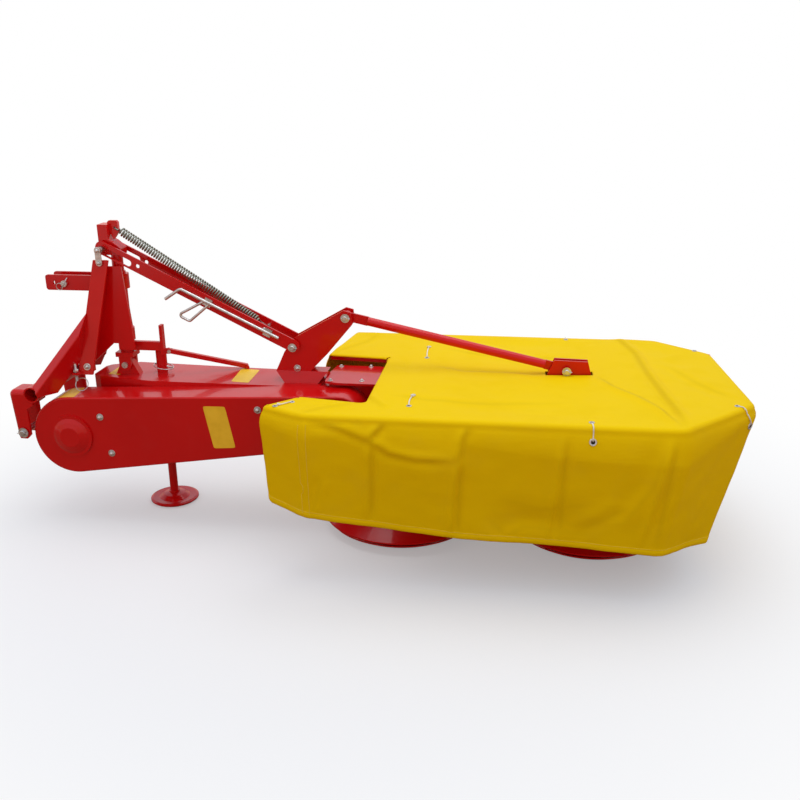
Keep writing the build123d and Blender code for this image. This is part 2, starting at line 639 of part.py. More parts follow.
# ---------------------------------------------------------------- cutter unit
CASE_Z = (560.0, 655.0)
CASE_HALF = 60.0
CASE_X = 20.0
AXLE_R = 22.0
NECK_Z = 470.0
with BuildPart() as gear_case:
    with BuildSketch(Plane.XY.offset(CASE_Z[0])):
        with Locations(((DRUM_X[1] + CASE_X) / 2, 0)):
            Rectangle(DRUM_X[1] - CASE_X, 2 * CASE_HALF)
        with Locations((DRUM_X[1], 0)):
            Circle(CASE_HALF)
    extrude(amount=CASE_Z[1] - CASE_Z[0])
    for x in DRUM_X:
        with BuildSketch(Plane.XY.offset(NECK_Z)):
            with Locations((x, 0)):
                Circle(72)
        extrude(amount=CASE_Z[0] - NECK_Z)
        with BuildSketch(Plane.XY.offset(20)):
            with Locations((x, 0)):
                Circle(AXLE_R)
        extrude(amount=NECK_Z - 20)
save(gear_case, "gear_case")

with BuildPart() as gear_box:
    with BuildSketch(at_y(140)):
        with Locations(OUTPUT):
            Circle(88)
    extrude(amount=140 - GUARD_Y[1])
    with BuildSketch(Plane.XY.offset(OUTPUT[1])):
        with Locations((-76, 39)):
            Rectangle(140, 202)
    extrude(amount=665 - OUTPUT[1])
    with BuildSketch(Plane.YZ.offset(-190)):
        with Locations((50, 570)):
            Rectangle(180, 120)
    extrude(amount=60)
    with BuildSketch(Plane.YZ.offset(-30)):
        with Locations((0, 607)):
            Rectangle(2 * CASE_HALF, 95)
    extrude(amount=CASE_X + 30)
    with BuildSketch(Plane.XY.offset(665)):
        with BuildLine():
            Polyline((-150, 155), (64, 155), (64, -100), (-100, -100), (-160, -80), (-165, 40),
                     (-150, 155))
        make_face()
    extrude(amount=10)
save(gear_box, "gear_box")

DISC_R, DRUM_R, DISH_R = 350.0, 150.0, 330.0
HUB = AXLE_R + RUN_FIT
# half sections from the axis outwards, radius and Z: a drum on its wide cone, and the dish below
DRUM = ((HUB, 50), (DISC_R, 50), (DISC_R, 57), (178, 158), (DRUM_R, 185), (DRUM_R, 440),
        (DRUM_R - 15, 456), (HUB, 456))
DISH = ((0, 0), (225, 0), (300, 10), (DISH_R, 28), (DISH_R, 34), (298, 18), (222, 8), (70, 8),
        (70, 44), (HUB, 44), (HUB, 19), (0, 19))
KNIFE_PIVOT, KNIFE_LENGTH, KNIFE_WIDTH = 315.0, 125.0, 46.0
KNIFE_Z = (46.0, 50.0)
FOLDED = 100.0                        # the free knives lie folded back beside the disc's rim
for side, x, turn in (("left", DRUM_X[0], 90), ("right", DRUM_X[1], 30)):
    with BuildPart() as drum:
        with BuildSketch(Plane.XZ):
            with BuildLine():
                Polyline(*DRUM, close=True)
            make_face()
        revolve(axis=Axis.Z)
    drum.part = drum.part.moved(Location((x, 0, 0)))
    save(drum, f"drum_{side}")

    with BuildPart() as dish:
        with BuildSketch(Plane.XZ):
            with BuildLine():
                Polyline(*DISH, close=True)
            make_face()
        revolve(axis=Axis.Z)
    dish.part = dish.part.moved(Location((x, 0, 0)))
    save(dish, f"skid_dish_{side}")

    with BuildPart() as knives:
        with BuildSketch(Plane.XY.offset(KNIFE_Z[0])):
            with PolarLocations(KNIFE_PIVOT, 3, start_angle=turn):
                Circle(KNIFE_WIDTH / 2)
                Rectangle(KNIFE_LENGTH, KNIFE_WIDTH, rotation=FOLDED, align=(Align.MIN, Align.CENTER))
        extrude(amount=KNIFE_Z[1] - KNIFE_Z[0])
    knives.part = knives.part.moved(Location((x, 0, 0)))
    save(knives, f"knives_{side}")

# ---------------------------------------------------------------- canopy
# corners of the top edge in order, and how far the hem stands inside each: x, y, hem shift x, y
CANOPY = ((-147, 605, 0, 0), (1305, 605, -20, -5), (1537, 400, -122, 70), (1537, -290, -122, -110),
          (1262, -605, -22, 5), (-138, -605, 0, 0), (-297, -515, 7, -10), (-200, -390, 0, -5),
          (75, -430, 0, 0), (80, 165, 0, 0), (-207, 190, 7, 0))
SHEET = 3.0
BRACKET_X = (786.0, 960.0)
HEM = ((-400, 372), (-290, 362), (-150, 322), (-49, 284), (194, 246), (427, 228), (1240, 206),
       (1560, 200))

with BuildPart() as canopy:
    with BuildSketch(Plane.XY.offset(CANOPY_Z)):
        with BuildLine():
            Polyline(*[(x, y) for x, y, _, _ in CANOPY], close=True)
        make_face()
    with BuildSketch(Plane.XY.offset(200)):
        with BuildLine():
            Polyline(*[(x + dx, y + dy) for x, y, dx, dy in CANOPY], close=True)
        make_face()
    loft(ruled=True)
    offset(amount=-SHEET, openings=canopy.faces().sort_by(Axis.Z)[0])
    with BuildSketch(Plane.XY.offset(100)):
        with BuildLine():
            Polyline((-600, 200), (-206, 195), (86, 170), (81, -437), (-200, -396), (-600, -396),
                     close=True)
        make_face()
    extrude(amount=CANOPY_Z - SHEET - 100, mode=Mode.SUBTRACT)
    with BuildSketch(Plane.XY.offset(CANOPY_Z - 2 * SHEET)):
        with Locations(((BRACKET_X[0] + BRACKET_X[1]) / 2, MID_Y)):
            Rectangle(BRACKET_X[1] - BRACKET_X[0] + 30, 60)
    extrude(amount=3 * SHEET, mode=Mode.SUBTRACT)
    with BuildSketch(at_y(700)):
        with BuildLine():
            Polyline(*HEM, (1560, 0), (-400, 0), close=True)
        make_face()
    extrude(amount=1400, mode=Mode.SUBTRACT)
save(canopy, "canopy_cover")

FRAME_R = 12.5
RING_Z = CANOPY_Z - SHEET - FRAME_R - 1
with BuildPart() as canopy_frame:
    with BuildSketch(Plane.XY.offset(RING_Z - FRAME_R)):
        with BuildLine():
            Polyline(*[(x, y) for x, y, _, _ in CANOPY], close=True)
        make_face()
        offset(amount=-14, kind=Kind.INTERSECTION)
        with BuildSketch(Plane.XY, mode=Mode.PRIVATE) as inner:
            with BuildLine():
                Polyline(*[(x, y) for x, y, _, _ in CANOPY], close=True)
            make_face()
            offset(amount=-39, kind=Kind.INTERSECTION)
        add(inner.sketch, mode=Mode.SUBTRACT)
    extrude(amount=2 * FRAME_R)
    for x in (300, 1100):
        with BuildSketch(Plane.XY.offset(RING_Z - FRAME_R)):
            with Locations((x, 0)):
                Rectangle(30, 2 * 575)
        extrude(amount=2 * FRAME_R)
        with BuildSketch(Plane.XY.offset(CASE_Z[1])):
            with Locations((x, 0)):
                Rectangle(60, 100)
        extrude(amount=RING_Z - FRAME_R - CASE_Z[1])
save(canopy_frame, "canopy_frame")

with BuildPart() as stay_bracket:
    for side, sign in SIDES:
        inner = MID_Y + sign * 12
        with BuildSketch(at_y(max(inner, inner + sign * 8))):
            with BuildLine():
                Polyline((BRACKET_X[0], CASE_Z[1] + 10), (BRACKET_X[1], CASE_Z[1] + 10),
                         (BRACKET_X[1] + 8, 716), (953, 768), (813, 771), (BRACKET_X[0], 708),
                         (BRACKET_X[0], CASE_Z[1] + 10))
            make_face()
            with Locations(STAY_PINS[1]):
                Circle(11, mode=Mode.SUBTRACT)
        extrude(amount=8)
    with BuildSketch(Plane.XY.offset(CASE_Z[1])):
        with Locations((873, 20)):
            Rectangle(200, 80)
    extrude(amount=10)
save(stay_bracket, "stay_bracket")
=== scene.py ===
# %% [markdown]
# # A drum mower, dressed for the camera
# A drum mower hangs on a tractor's three-point linkage. Two drums with knives cut the crop, and a
# yellow cover of coated cloth keeps stones and cut grass in. The solid parts come ready made from
# the CAD model, each in its own named node. This lesson adds what CAD leaves out: the finishes, the
# cloth cover, the coil spring, and the small hardware.

# %% Load the frame
import bpy
import bmesh
import json
import random
from math import cos, exp, pi, radians, sin, tau
from mathutils import Matrix, Vector, noise
from mathutils.bvhtree import BVHTree
from mathutils.geometry import delaunay_2d_cdt


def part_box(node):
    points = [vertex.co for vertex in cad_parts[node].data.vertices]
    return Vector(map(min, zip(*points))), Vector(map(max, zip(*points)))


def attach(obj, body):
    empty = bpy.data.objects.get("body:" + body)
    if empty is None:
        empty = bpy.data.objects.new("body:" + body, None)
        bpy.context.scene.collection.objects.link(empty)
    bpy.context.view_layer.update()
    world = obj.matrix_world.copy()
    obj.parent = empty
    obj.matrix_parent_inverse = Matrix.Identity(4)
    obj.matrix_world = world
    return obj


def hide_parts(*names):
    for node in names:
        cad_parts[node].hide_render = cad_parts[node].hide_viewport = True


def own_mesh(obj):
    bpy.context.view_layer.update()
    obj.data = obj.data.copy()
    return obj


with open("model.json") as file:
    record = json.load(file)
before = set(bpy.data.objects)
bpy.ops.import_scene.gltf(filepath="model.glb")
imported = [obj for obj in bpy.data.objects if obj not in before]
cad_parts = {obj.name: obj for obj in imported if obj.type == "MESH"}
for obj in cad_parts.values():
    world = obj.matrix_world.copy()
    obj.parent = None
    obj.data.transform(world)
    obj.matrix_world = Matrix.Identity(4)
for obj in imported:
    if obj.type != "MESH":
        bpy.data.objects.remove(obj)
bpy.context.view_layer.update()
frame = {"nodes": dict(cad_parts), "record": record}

# %% [markdown]
# ## The camera
# The camera comes first, because every later choice is judged through it. It stands in front of the
# mower, a little to the right, at about head height, and looks down at it. It could be aimed with a
# Track To constraint, but a matrix built from three plain angles needs no other object.

# %% Place the camera
CAMERA_PLACE = Vector((0.649, -3.640, 1.870))
YAW, PITCH, LEAN = radians(7.73), radians(19.44), radians(-0.36)
SENSOR, LENS = 36.0, 40.04          # millimetres

camera = bpy.data.objects.new("camera", bpy.data.cameras.new("camera"))
bpy.context.scene.collection.objects.link(camera)
camera.matrix_world = (Matrix.Translation(CAMERA_PLACE) @ Matrix.Rotation(YAW, 4, "Z")
                       @ Matrix.Rotation(pi / 2 - PITCH, 4, "X") @ Matrix.Rotation(LEAN, 4, "Z"))
camera.data.sensor_width = SENSOR
camera.data.lens = LENS
camera.data.clip_end = 60.0
bpy.context.scene.camera = camera
print("camera at", tuple(round(c, 2) for c in CAMERA_PLACE))

# %% [markdown]
# ## Node trees that read like sums
# Finishes and repeated shapes are both made of nodes. Wiring nodes link by link hides the idea behind
# them, so three small classes help. A `Net` is a tree, and its `node` method is the only way a node
# is added. A `Wire` stands for one socket and knows plain arithmetic: `1 - mask` adds a Math node. A
# `Finish` is the net of one material, with a few patterns that several materials share.

# %% Three helpers for node trees
class Net:
    """A tree of nodes that node() adds."""

    def __init__(self, tree):
        self.tree = tree
        tree.nodes.clear()

    def node(self, kind, settings=None, inputs=None, out=0):
        made = self.tree.nodes.new(kind)
        for key, value in (settings or {}).items():
            setattr(made, key, value)
        for key, value in (inputs or {}).items():
            if isinstance(value, Wire):
                self.tree.links.new(value.socket, made.inputs[key])
            else:
                made.inputs[key].default_value = value
        return Wire(self, made.outputs[out]) if made.outputs else None


class Wire:
    """A socket of a net. Sums on it add Math nodes."""

    def __init__(self, net, socket):
        self.net, self.socket = net, socket

    def maths(self, operation, *values):
        return self.net.node("ShaderNodeMath", {"operation": operation}, dict(enumerate(values)))

    def __add__(self, other):
        return self.maths("ADD", self, other)

    def __sub__(self, other):
        return self.maths("SUBTRACT", self, other)

    def __rsub__(self, other):
        return self.maths("SUBTRACT", other, self)

    def __mul__(self, other):
        return self.maths("MULTIPLY", self, other)

    __radd__, __rmul__ = __add__, __mul__

    def step(self, low, high):
        """0 below low, 1 above high, with a soft rise between them."""
        return self.net.node("ShaderNodeMapRange", {"interpolation_type": "SMOOTHSTEP"},
                             {"Value": self, "From Min": low, "From Max": high}, "Result")

    def wave(self):
        return self.maths("SINE", self)


class Finish(Net):
    """The net of one material, or of the world."""

    def __init__(self, name, kind=bpy.data.materials, place="Object"):
        self.made = kind.new(name)
        self.made.use_nodes = True
        super().__init__(self.made.node_tree)
        self.place = self.node("ShaderNodeTexCoord", out=place)

    def noise(self, scale, detail=3.0, stretch=(1, 1, 1), seed=0.0):
        spread = self.node("ShaderNodeMapping", None, {"Vector": self.place, "Scale": stretch})
        return self.node("ShaderNodeTexNoise", {"noise_dimensions": "4D"},
                         {"Vector": spread, "Scale": scale, "Detail": detail, "W": seed})

    def mix(self, share, first, second):
        return self.node("ShaderNodeMix", {"data_type": "RGBA"},
                         {0: share, 6: first, 7: second}, 2)

    def bump(self, height, strength, distance):
        return self.node("ShaderNodeBump", None,
                         {"Height": height, "Strength": strength, "Distance": distance})

    def surface(self, **sockets):
        names = {key.replace("_", " "): value for key, value in sockets.items()}
        shader = self.node("ShaderNodeBsdfPrincipled", None, names)
        self.node("ShaderNodeOutputMaterial", None, {"Surface": shader})
        return self.made


print("helpers ready")

# %% [markdown]
# ## Glossy red paint
# Farm machines are dipped or sprayed with thick enamel. It is smooth but not flat: close up it has
# a faint orange-peel ripple that breaks reflections, and wide, slow changes of tone. One glossy layer
# would do for new plastic, but enamel shows a deep colour and a sharp highlight at once, so a clear
# coat lies on a slightly rough base here.

# %% Make the red paint
def red_enamel():
    paint = Finish("red_enamel")
    drift = paint.noise(3.1, 4.0)
    film = paint.noise(9.0, 6.0, seed=2.0).step(0.5, 0.78)
    peel = paint.noise(240.0, 1.0, seed=5.0)
    wave = paint.noise(26.0, 2.0, seed=7.0)
    red = paint.mix(drift, (0.66, 0.0025, 0.003, 1), (0.54, 0.0015, 0.002, 1))
    dusty = paint.mix(film * 0.04, red, (0.50, 0.14, 0.11, 1))
    return paint.surface(Base_Color=dusty, Roughness=0.28 + film * 0.12, IOR=1.27,
                         Coat_Weight=0.6 - film * 0.25, Coat_Roughness=0.06, Coat_IOR=1.38,
                         Normal=paint.bump(peel * 0.12 + wave, 0.5, 0.0006))


RED = red_enamel()
print(RED.name)

# %% [markdown]
# ## Bare and plated metal
# The pins, bolts and rods are zinc plated: a bright, slightly clouded grey with a hint of yellow
# where the plating is passivated. The coil spring is darker and a little green. The knives are plain
# steel, brushed by grinding. Three separate materials could be drawn up, but they differ only in
# tone and grain, so one recipe with three sets of numbers makes all of them.

# %% Make the metals
def metal(name, light, dark, roughness, grain):
    finish = Finish(name)
    cloud = finish.noise(38.0, 5.0)
    speck = finish.noise(310.0, 2.0, seed=4.0)
    brushed = finish.noise(90.0, 2.0, stretch=grain, seed=9.0)
    return finish.surface(Base_Color=finish.mix(cloud.step(0.3, 0.7), light, dark), Metallic=0.95,
                          Roughness=roughness + (speck - 0.5) * 0.25 + (brushed - 0.5) * 0.2,
                          Normal=finish.bump(speck * 0.4 + brushed, 0.35, 0.0004))


ZINC = metal("zinc_plate", (0.74, 0.74, 0.71, 1), (0.52, 0.52, 0.50, 1), 0.32, (1, 1, 1))
SPRING_STEEL = metal("spring_steel", (0.36, 0.39, 0.34, 1), (0.22, 0.24, 0.20, 1), 0.40, (1, 1, 1))
KNIFE_STEEL = metal("knife_steel", (0.50, 0.49, 0.47, 1), (0.30, 0.29, 0.28, 1), 0.42, (1, 12, 1))
print(ZINC.name, SPRING_STEEL.name, KNIFE_STEEL.name)

# %% [markdown]
# ## Coated cloth
# The cover is polyester cloth with a thick yellow plastic coating. The weave shows through only as
# a very fine grid of threads. The coating has a soft satin sheen, and it holds the creases from
# lying folded in the shed. The light from above hardly shows them, so shade is painted into them: the
# mesh carries a number, "crease", that is 1 on a strong crease and 0 away from it, and the colour is
# painted darker where that number is high.

# %% Make the coated cloth
THREADS = 2600.0        # radians of the weave's wave to each metre


def coated_cloth():
    cloth = Finish("coated_cloth")
    split = cloth.node("ShaderNodeSeparateXYZ", None, {"Vector": cloth.place})
    x, y, z = (Wire(cloth, end) for end in split.socket.node.outputs)
    threads = (x * THREADS).wave() * (y * THREADS + z * THREADS).wave()
    drift = cloth.noise(2.4, 4.0, seed=1.0)
    rubbed = cloth.noise(8.0, 6.0, seed=3.0).step(0.48, 0.72)
    creased = cloth.noise(14.0, 5.0, stretch=(0.5, 0.5, 1.6), seed=6.0)
    pebble = cloth.noise(420.0, 2.0, seed=8.0)
    yellow = cloth.mix(drift, (0.87, 0.60, 0.001, 1), (0.82, 0.54, 0.001, 1))
    dirt_and_shade = cloth.mix(rubbed * 0.10, yellow, (0.66, 0.44, 0.03, 1))
    # painted shade: the colour is made darker along the creases, as much as the crease number says
    crease = cloth.node("ShaderNodeAttribute", {"attribute_name": "crease"}, out="Fac")
    lined = cloth.mix(crease * (0.30 + drift * 0.35), dirt_and_shade, (0.52, 0.33, 0.004, 1))
    return cloth.surface(Base_Color=lined, Roughness=0.50 + rubbed * 0.14, IOR=1.10,
                         Normal=cloth.bump(threads * 0.02 + pebble * 0.05 + creased, 0.55, 0.004))


CLOTH = coated_cloth()
print(CLOTH.name)

# %% [markdown]
# Four small finishes are left: the yellow film of the blank plates, the soft white of the ties, the
# painted shade inside a hole and the thread of the seams. They are too small to show more than two
# tones and a grain, so one short recipe makes the four.

# %% Make the small finishes
def plain_finish(name, light, dark, roughness, scale, depth):
    finish = Finish(name)
    grain = finish.noise(scale, 4.0, seed=3.0)
    cloud = finish.noise(21.0, 4.0, seed=11.0)
    return finish.surface(Base_Color=finish.mix(cloud.step(0.35, 0.7), light, dark), IOR=1.4,
                          Roughness=roughness + (grain - 0.5) * 0.2,
                          Normal=finish.bump(grain, 0.5, depth))


FILM = plain_finish("yellow_film", (0.95, 0.60, 0.03, 1), (0.86, 0.53, 0.02, 1), 0.38, 160.0, 0.0003)
CORD = plain_finish("white_cord", (0.86, 0.85, 0.80, 1), (0.66, 0.63, 0.56, 1), 0.80, 900.0, 0.0008)
# painted shade: near black, for the shade inside an eyelet's hole
HOLE_SHADE = plain_finish("dark_hole", (0.03, 0.02, 0.01, 1), (0.015, 0.01, 0.01, 1), 0.90, 300.0, 0.0005)
THREAD = plain_finish("yellow_thread", (0.90, 0.72, 0.10, 1), (0.80, 0.60, 0.05, 1), 0.70, 900.0, 0.0003)
print(FILM.name, CORD.name, HOLE_SHADE.name, THREAD.name)

# %% [markdown]
# ## Finishes go on the CAD nodes
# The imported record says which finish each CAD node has. Naming every node here would work too, but a
# table from the record's slot names to the materials dresses all of them in one loop, and a node that
# is added later gets its finish without a new line.

# %% Dress the CAD nodes
SLOT_FINISH = {"red_paint": RED, "zinc_steel": ZINC, "spring_steel": SPRING_STEEL,
               "knife_steel": KNIFE_STEEL, "yellow_cover": CLOTH}
slot_of = {part["node"]: part["material_slot"] for part in frame["record"]["subparts"]}
for name, node in frame["nodes"].items():
    node.data.materials.clear()
    node.data.materials.append(SLOT_FINISH[slot_of[name]])
print("dressed", len(frame["nodes"]), "nodes")

# %% [markdown]
# ## Building shapes
# Every piece below starts as a bmesh in millimetres, the unit of workshop drawings. Blender's own
# primitives could be added and joined, but a turned profile, a wire along points and a flat slab make
# all the small hardware. `finished` turns such a shape into an object in metres: doubles are merged
# first, then the normals are made to point outwards. `settled` works modifiers into a plain mesh.

# %% Turn shapes into pieces
def finished(name, shape, finish, smooth=True):
    """A mesh object made of a bmesh in millimetres, with its finish."""
    bmesh.ops.remove_doubles(shape, verts=shape.verts, dist=0.02)
    bmesh.ops.recalc_face_normals(shape, faces=shape.faces)
    bmesh.ops.scale(shape, vec=(0.001,) * 3, verts=shape.verts)
    for face in shape.faces:
        face.smooth = smooth
    mesh = bpy.data.meshes.new(name)
    shape.to_mesh(mesh)
    shape.free()
    mesh.materials.append(finish)
    piece = bpy.data.objects.new(name, mesh)
    bpy.context.scene.collection.objects.link(piece)
    return piece


def settled(piece):
    """The piece with its modifiers worked into a plain mesh."""
    bpy.context.view_layer.update()
    plain = bpy.data.meshes.new_from_object(piece.evaluated_get(bpy.context.evaluated_depsgraph_get()))
    piece.modifiers.clear()
    piece.data = plain
    return piece


def turned(shape, profile, sides):
    """A solid turned about Z. The profile's (radius, height) pairs run from axis to axis, or close."""
    rings = []
    for radius, height in profile:
        count = sides if radius else 1
        rings.append([shape.verts.new((radius * cos(tau * k / sides), radius * sin(tau * k / sides),
                                       height)) for k in range(count)])
    for low, high in zip(rings, rings[1:]):
        for k in range(sides):
            ring = [low[k % len(low)], low[(k + 1) % len(low)],
                    high[(k + 1) % len(high)], high[k % len(high)]]
            shape.faces.new(list(dict.fromkeys(ring)))


def wire(shape, points, radius, sides=8):
    """A round wire along the points, with flat ends."""
    points = [Vector(p) for p in points]
    aside = (points[1] - points[0]).orthogonal()
    rings = []
    for k, point in enumerate(points):
        along = (points[min(k + 1, len(points) - 1)] - points[max(k - 1, 0)]).normalized()
        aside = (aside - along * aside.dot(along)).normalized()
        up = along.cross(aside)
        rings.append([shape.verts.new(point + (aside * cos(tau * n / sides)
                                               + up * sin(tau * n / sides)) * radius)
                      for n in range(sides)])
    for low, high in zip(rings, rings[1:]):
        for n in range(sides):
            m = (n + 1) % sides
            shape.faces.new((low[n], low[m], high[m], high[n]))
    shape.faces.new(rings[0][::-1])
    shape.faces.new(rings[-1])


def slab(shape, corners, low, high):
    """A flat plate between two heights, from its corners x, y."""
    rings = [[shape.verts.new((x, y, z)) for x, y in corners] for z in (low, high)]
    for k in range(len(corners)):
        m = (k + 1) % len(corners)
        shape.faces.new((rings[0][k], rings[0][m], rings[1][m], rings[1][k]))
    shape.faces.new(rings[0][::-1])
    shape.faces.new(rings[1])


def ring_points(centre, radius, tilt, count=28):
    """Points once round a level circle, turned by a matrix."""
    return [Vector(centre) + tilt @ Vector((radius * cos(tau * k / count),
                                            radius * sin(tau * k / count), 0))
            for k in range(count + 1)]


print("shape helpers ready")

# %% [markdown]
# ## The cloth cover
# The cover is one sheet of coated cloth over a tube frame. Its top is flat, its skirt hangs down to
# the hem all round, and on the side of the belt guard a notch is left open, where the edge is rolled
# round the tube. A cloth simulation could drape it, but a cover that is cut, sewn and stretched on
# its frame has a known shape, and building that shape puts each crease where it belongs. The steps
# follow the way such a cover is sewn: an outline with rounded corners, a top panel inside it, and
# strips of cloth that leave the outline and hang down.
#
# The outline is a short table of corners: where each stands on top, and how far its hem is moved.

# %% Draw the outline of the cover
TOP_Z = 715.0
TURN = 22.0        # radius of the cloth where it turns down from the top
# a corner on top: x, y, then how far the hem below it is moved, x, y
CORNERS = ((-147, 605, 0, 0), (1305, 605, -20, -5), (1530, 400, -115, 70), (1570, -290, -150, -112),
           (1264, -608, -52, 5), (-138, -606, 0, 0), (-322, -517, 4, -8), (-200, -392, 0, -5),
           (76, -440, 0, 0), (80, 163, 0, 0), (-207, 188, 7, 0))
NOTCH_START, ROLL_END, NOTCH_END = 7, 9, 10      # corners of the notch, counted from 0
NEAR_EDGE = 4                                    # the long edge that starts at this corner is near
# height of the hem against x, on both long sides
HEM = ((-330, 326), (-314, 322), (-291, 309), (-175, 294), (-99, 288), (-24, 278), (78, 268),
       (129, 264), (238, 251), (469, 237), (674, 232), (1083, 217), (1212, 207), (1330, 190),
       (1420, 174), (1600, 174))


def between(table, x):
    """The value at x, read off straight lines through the (x, value) pairs of a table."""
    for (x0, v0), (x1, v1) in zip(table, table[1:]):
        if x <= x1:
            return v0 + (v1 - v0) * max(0.0, (x - x0) / (x1 - x0))
    return table[-1][1]


def outline(step=10.0, cut=30.0, bends=7):
    """Points (x, y, u) once round the cover. u is the corner's number plus the way to the next."""
    points = []
    count = len(CORNERS)
    for i in range(count):
        here, ahead = (Vector(CORNERS[k % count][:2]) for k in (i, i + 1))
        behind = Vector(CORNERS[i - 1][:2])
        run, past = (ahead - here).length, (here - behind).length
        start, end = here + (behind - here) * cut / past, here + (ahead - here) * cut / run
        for k in range(1, bends + 1):
            share = k / bends
            bend = start * (1 - share) ** 2 + here * 2 * share * (1 - share) + end * share ** 2
            offset = cut * (2 * share - 1)
            points.append((bend.x, bend.y, i + offset / (run if offset > 0 else past)))
        pieces = max(2, round((run - 2 * cut) / step))
        for k in range(1, pieces + 1):
            at = cut + (run - 2 * cut) * k / pieces
            spot = here + (ahead - here) * at / run
            points.append((spot.x, spot.y, i + at / run))
    return points


rim = outline()
print("outline of", len(rim), "points")

# %% [markdown]
# Cloth remembers where it was folded. The creases could be painted on as bump, but then the cover's
# edge would stay straight where they cross it. So each crease is a line drawn on the panel, and
# pressing it pushes the cloth out on one side of the line and in on the other, which is what catches
# the light. A negative height swaps the two sides. Two of the creases on top also stand up as ridges.

# %% Draw the creases
# the middles of two long creases of the top, points x, y
ACROSS = ((1136, 545), (1182, 332), (1201, 37), (1229, -207), (1257, -444))
ASIDE = ((1041, -142), (1129, -267), (1195, -397))
# creases of the top: points x, y, then half width and height
TOP_FOLDS = (
    (((1120, 590), *ACROSS, (1264, -596)), 20, 8.5),
    (((985, 10), *ASIDE, (1258, -596)), 19, -8.0),
    (((300, 60), (420, 20), (640, 30), (770, 10)), 30, -3.4),
    (((150, -330), (320, -390), (560, -380), (900, -330)), 60, 3.4),
    (((300, 330), (620, 250), (960, 290)), 70, 3.2),
    (((60, -340), (110, -420), (170, -500)), 22, 4.4),
    (((-150, -590), (-60, -510), (60, -450)), 26, 4.0),
    (((-190, 200), (-60, 420), (-20, 590)), 36, 3.4),
    (((1300, 200), (1400, -60), (1500, -240)), 44, 3.6),
)
# folds that stand up like the ridge of a tent, in the same columns
TOP_RIDGES = (
    (((1118, 600), *ACROSS, (1264, -606)), 150, 9.0),
    (((960, 60), *ASIDE, (1262, -600)), 90, 5.0),
    (((300, -560), (300, 560)), 120, 2.0),
)
# creases of the near skirt: points x, z, then half width and height
SKIRT_FOLDS = (
    (((-120, 700), (0, 672), (127, 626), (140, 600)), 20, 5.2),
    (((127, 628), (200, 584), (300, 566), (462, 566)), 20, 6.0),
    (((176, 700), (127, 636)), 18, -8.0),
    (((462, 560), (470, 640), (486, 700)), 18, 7.0),
    (((129, 640), (128, 450), (124, 280)), 15, -6.6),
    (((464, 560), (460, 400), (458, 240)), 15, -7.4),
    (((844, 690), (842, 450), (836, 230)), 16, -6.2),
    (((1225, 690), (1215, 500), (1190, 230)), 20, -7.6),
    (((1200, 690), (1160, 500), (1060, 330)), 46, 4.6),
    (((600, 420), (760, 380), (980, 420)), 70, 3.0),
    (((560, 330), (640, 262), (700, 300), (1000, 280)), 44, -4.4),
    (((910, 300), (1010, 360), (1090, 420)), 36, 3.6),
    (((-60, 470), (-90, 380), (-110, 300)), 26, 3.2),
)
print(len(TOP_FOLDS) + len(SKIRT_FOLDS), "creases,", len(TOP_RIDGES), "ridges")

# %% [markdown]
# Four functions read these tables. The first finds the point of a line that is nearest to a spot. The
# other three turn the distance to it into a push, an amount of painted shade or a lift, and each of them
# fades out towards the ends of the line, as a real crease does.

# %% Press the cloth, paint shade on its creases, and lift it
PEAK = 2.33                     # makes the strongest push of a crease equal to its height
SHADE_WIDTH, FULL_SHADE_HEIGHT = 11, 8    # half width of a line of painted shade, and the crease's height for full shade


def beside(spot, line):
    """How far spot is from a line, on which side, and a share that fades to 0 at the line's ends."""
    nearest = None
    for k, (a, b) in enumerate(zip(line, line[1:])):
        a, run = Vector(a), Vector(b) - Vector(a)
        share = min(1.0, max(0.0, (spot - a).dot(run) / run.length_squared))
        gap = spot - a - run * share
        if nearest is None or gap.length < nearest[0]:
            side = 1 if run.cross(gap) > 0 else -1
            nearest = gap.length, side, (k + share) / (len(line) - 1)
    gap, side, along = nearest
    return gap, side, min(1.0, 5 * along, 5 * (1 - along))


def press(spot, folds):
    """How far the creases push the cloth at spot."""
    push = 0.0
    for line, width, height in folds:
        gap, side, fade = beside(spot, line)
        push += height * PEAK * side * gap / width * exp(-(gap / width) ** 2) * fade
    return push


def painted_shade(spot, folds):
    """How much shade is painted on the cloth at spot: near 1 on a strong crease, 0 away from all of
    them.
    """
    most = 0.0
    for line, _, height in folds:
        gap, _, fade = beside(spot, line)
        most = max(most, exp(-(gap / SHADE_WIDTH) ** 2) * fade * min(1.0, abs(height) / FULL_SHADE_HEIGHT))
    return most


def lift(spot, ridges):
    """How far the ridges lift the cloth at spot."""
    rise = 0.0
    for line, width, height in ridges:
        gap, _, fade = beside(spot, line)
        rise += height * max(0.0, 1 - gap / width) ** 1.3 * fade
    return rise


print("dirt on a crease:", round(painted_shade(Vector((1201, 37)), TOP_FOLDS), 2))

# %% [markdown]
# The tubes of the frame hold the top up. Between them the cloth sags a little and lies in soft waves.
# Waves everywhere would be simpler, but they would let the frame poke through, so they are multiplied
# by a number that is 0 over a tube and 1 in the middle of the fields between the tubes.

# %% Shape the top
TUBES = (300, 1100)             # the frame's cross tubes, x
HELD, FREE = 42, 110            # the cloth is held so far beside a tube, and free so much farther on
FIELDS = ((300, 1100, 9.0), (-150, 300, 3.0), (1100, 1537, 4.0))    # x, x, depth of the sag


def ripple(x, y, z, size):
    """Smooth random waves, about -1 to 1, that are size millimetres across."""
    return noise.noise(Vector((x, y, z)) / size)


def unheld(x, y):
    """0 over the tubes of the frame, rising to 1 in the middle of the fields between them."""
    spot = Vector((x, y))
    nearest = min(abs(x - tube) for tube in TUBES)
    for i, corner in enumerate(CORNERS):
        a, b = Vector(CORNERS[i - 1][:2]), Vector(corner[:2])
        share = min(1.0, max(0.0, (spot - a).dot(b - a) / (b - a).length_squared))
        nearest = min(nearest, (spot - a - (b - a) * share).length)
    share = min(1.0, max(0.0, (nearest - HELD) / FREE))
    return share * share * (3 - 2 * share)


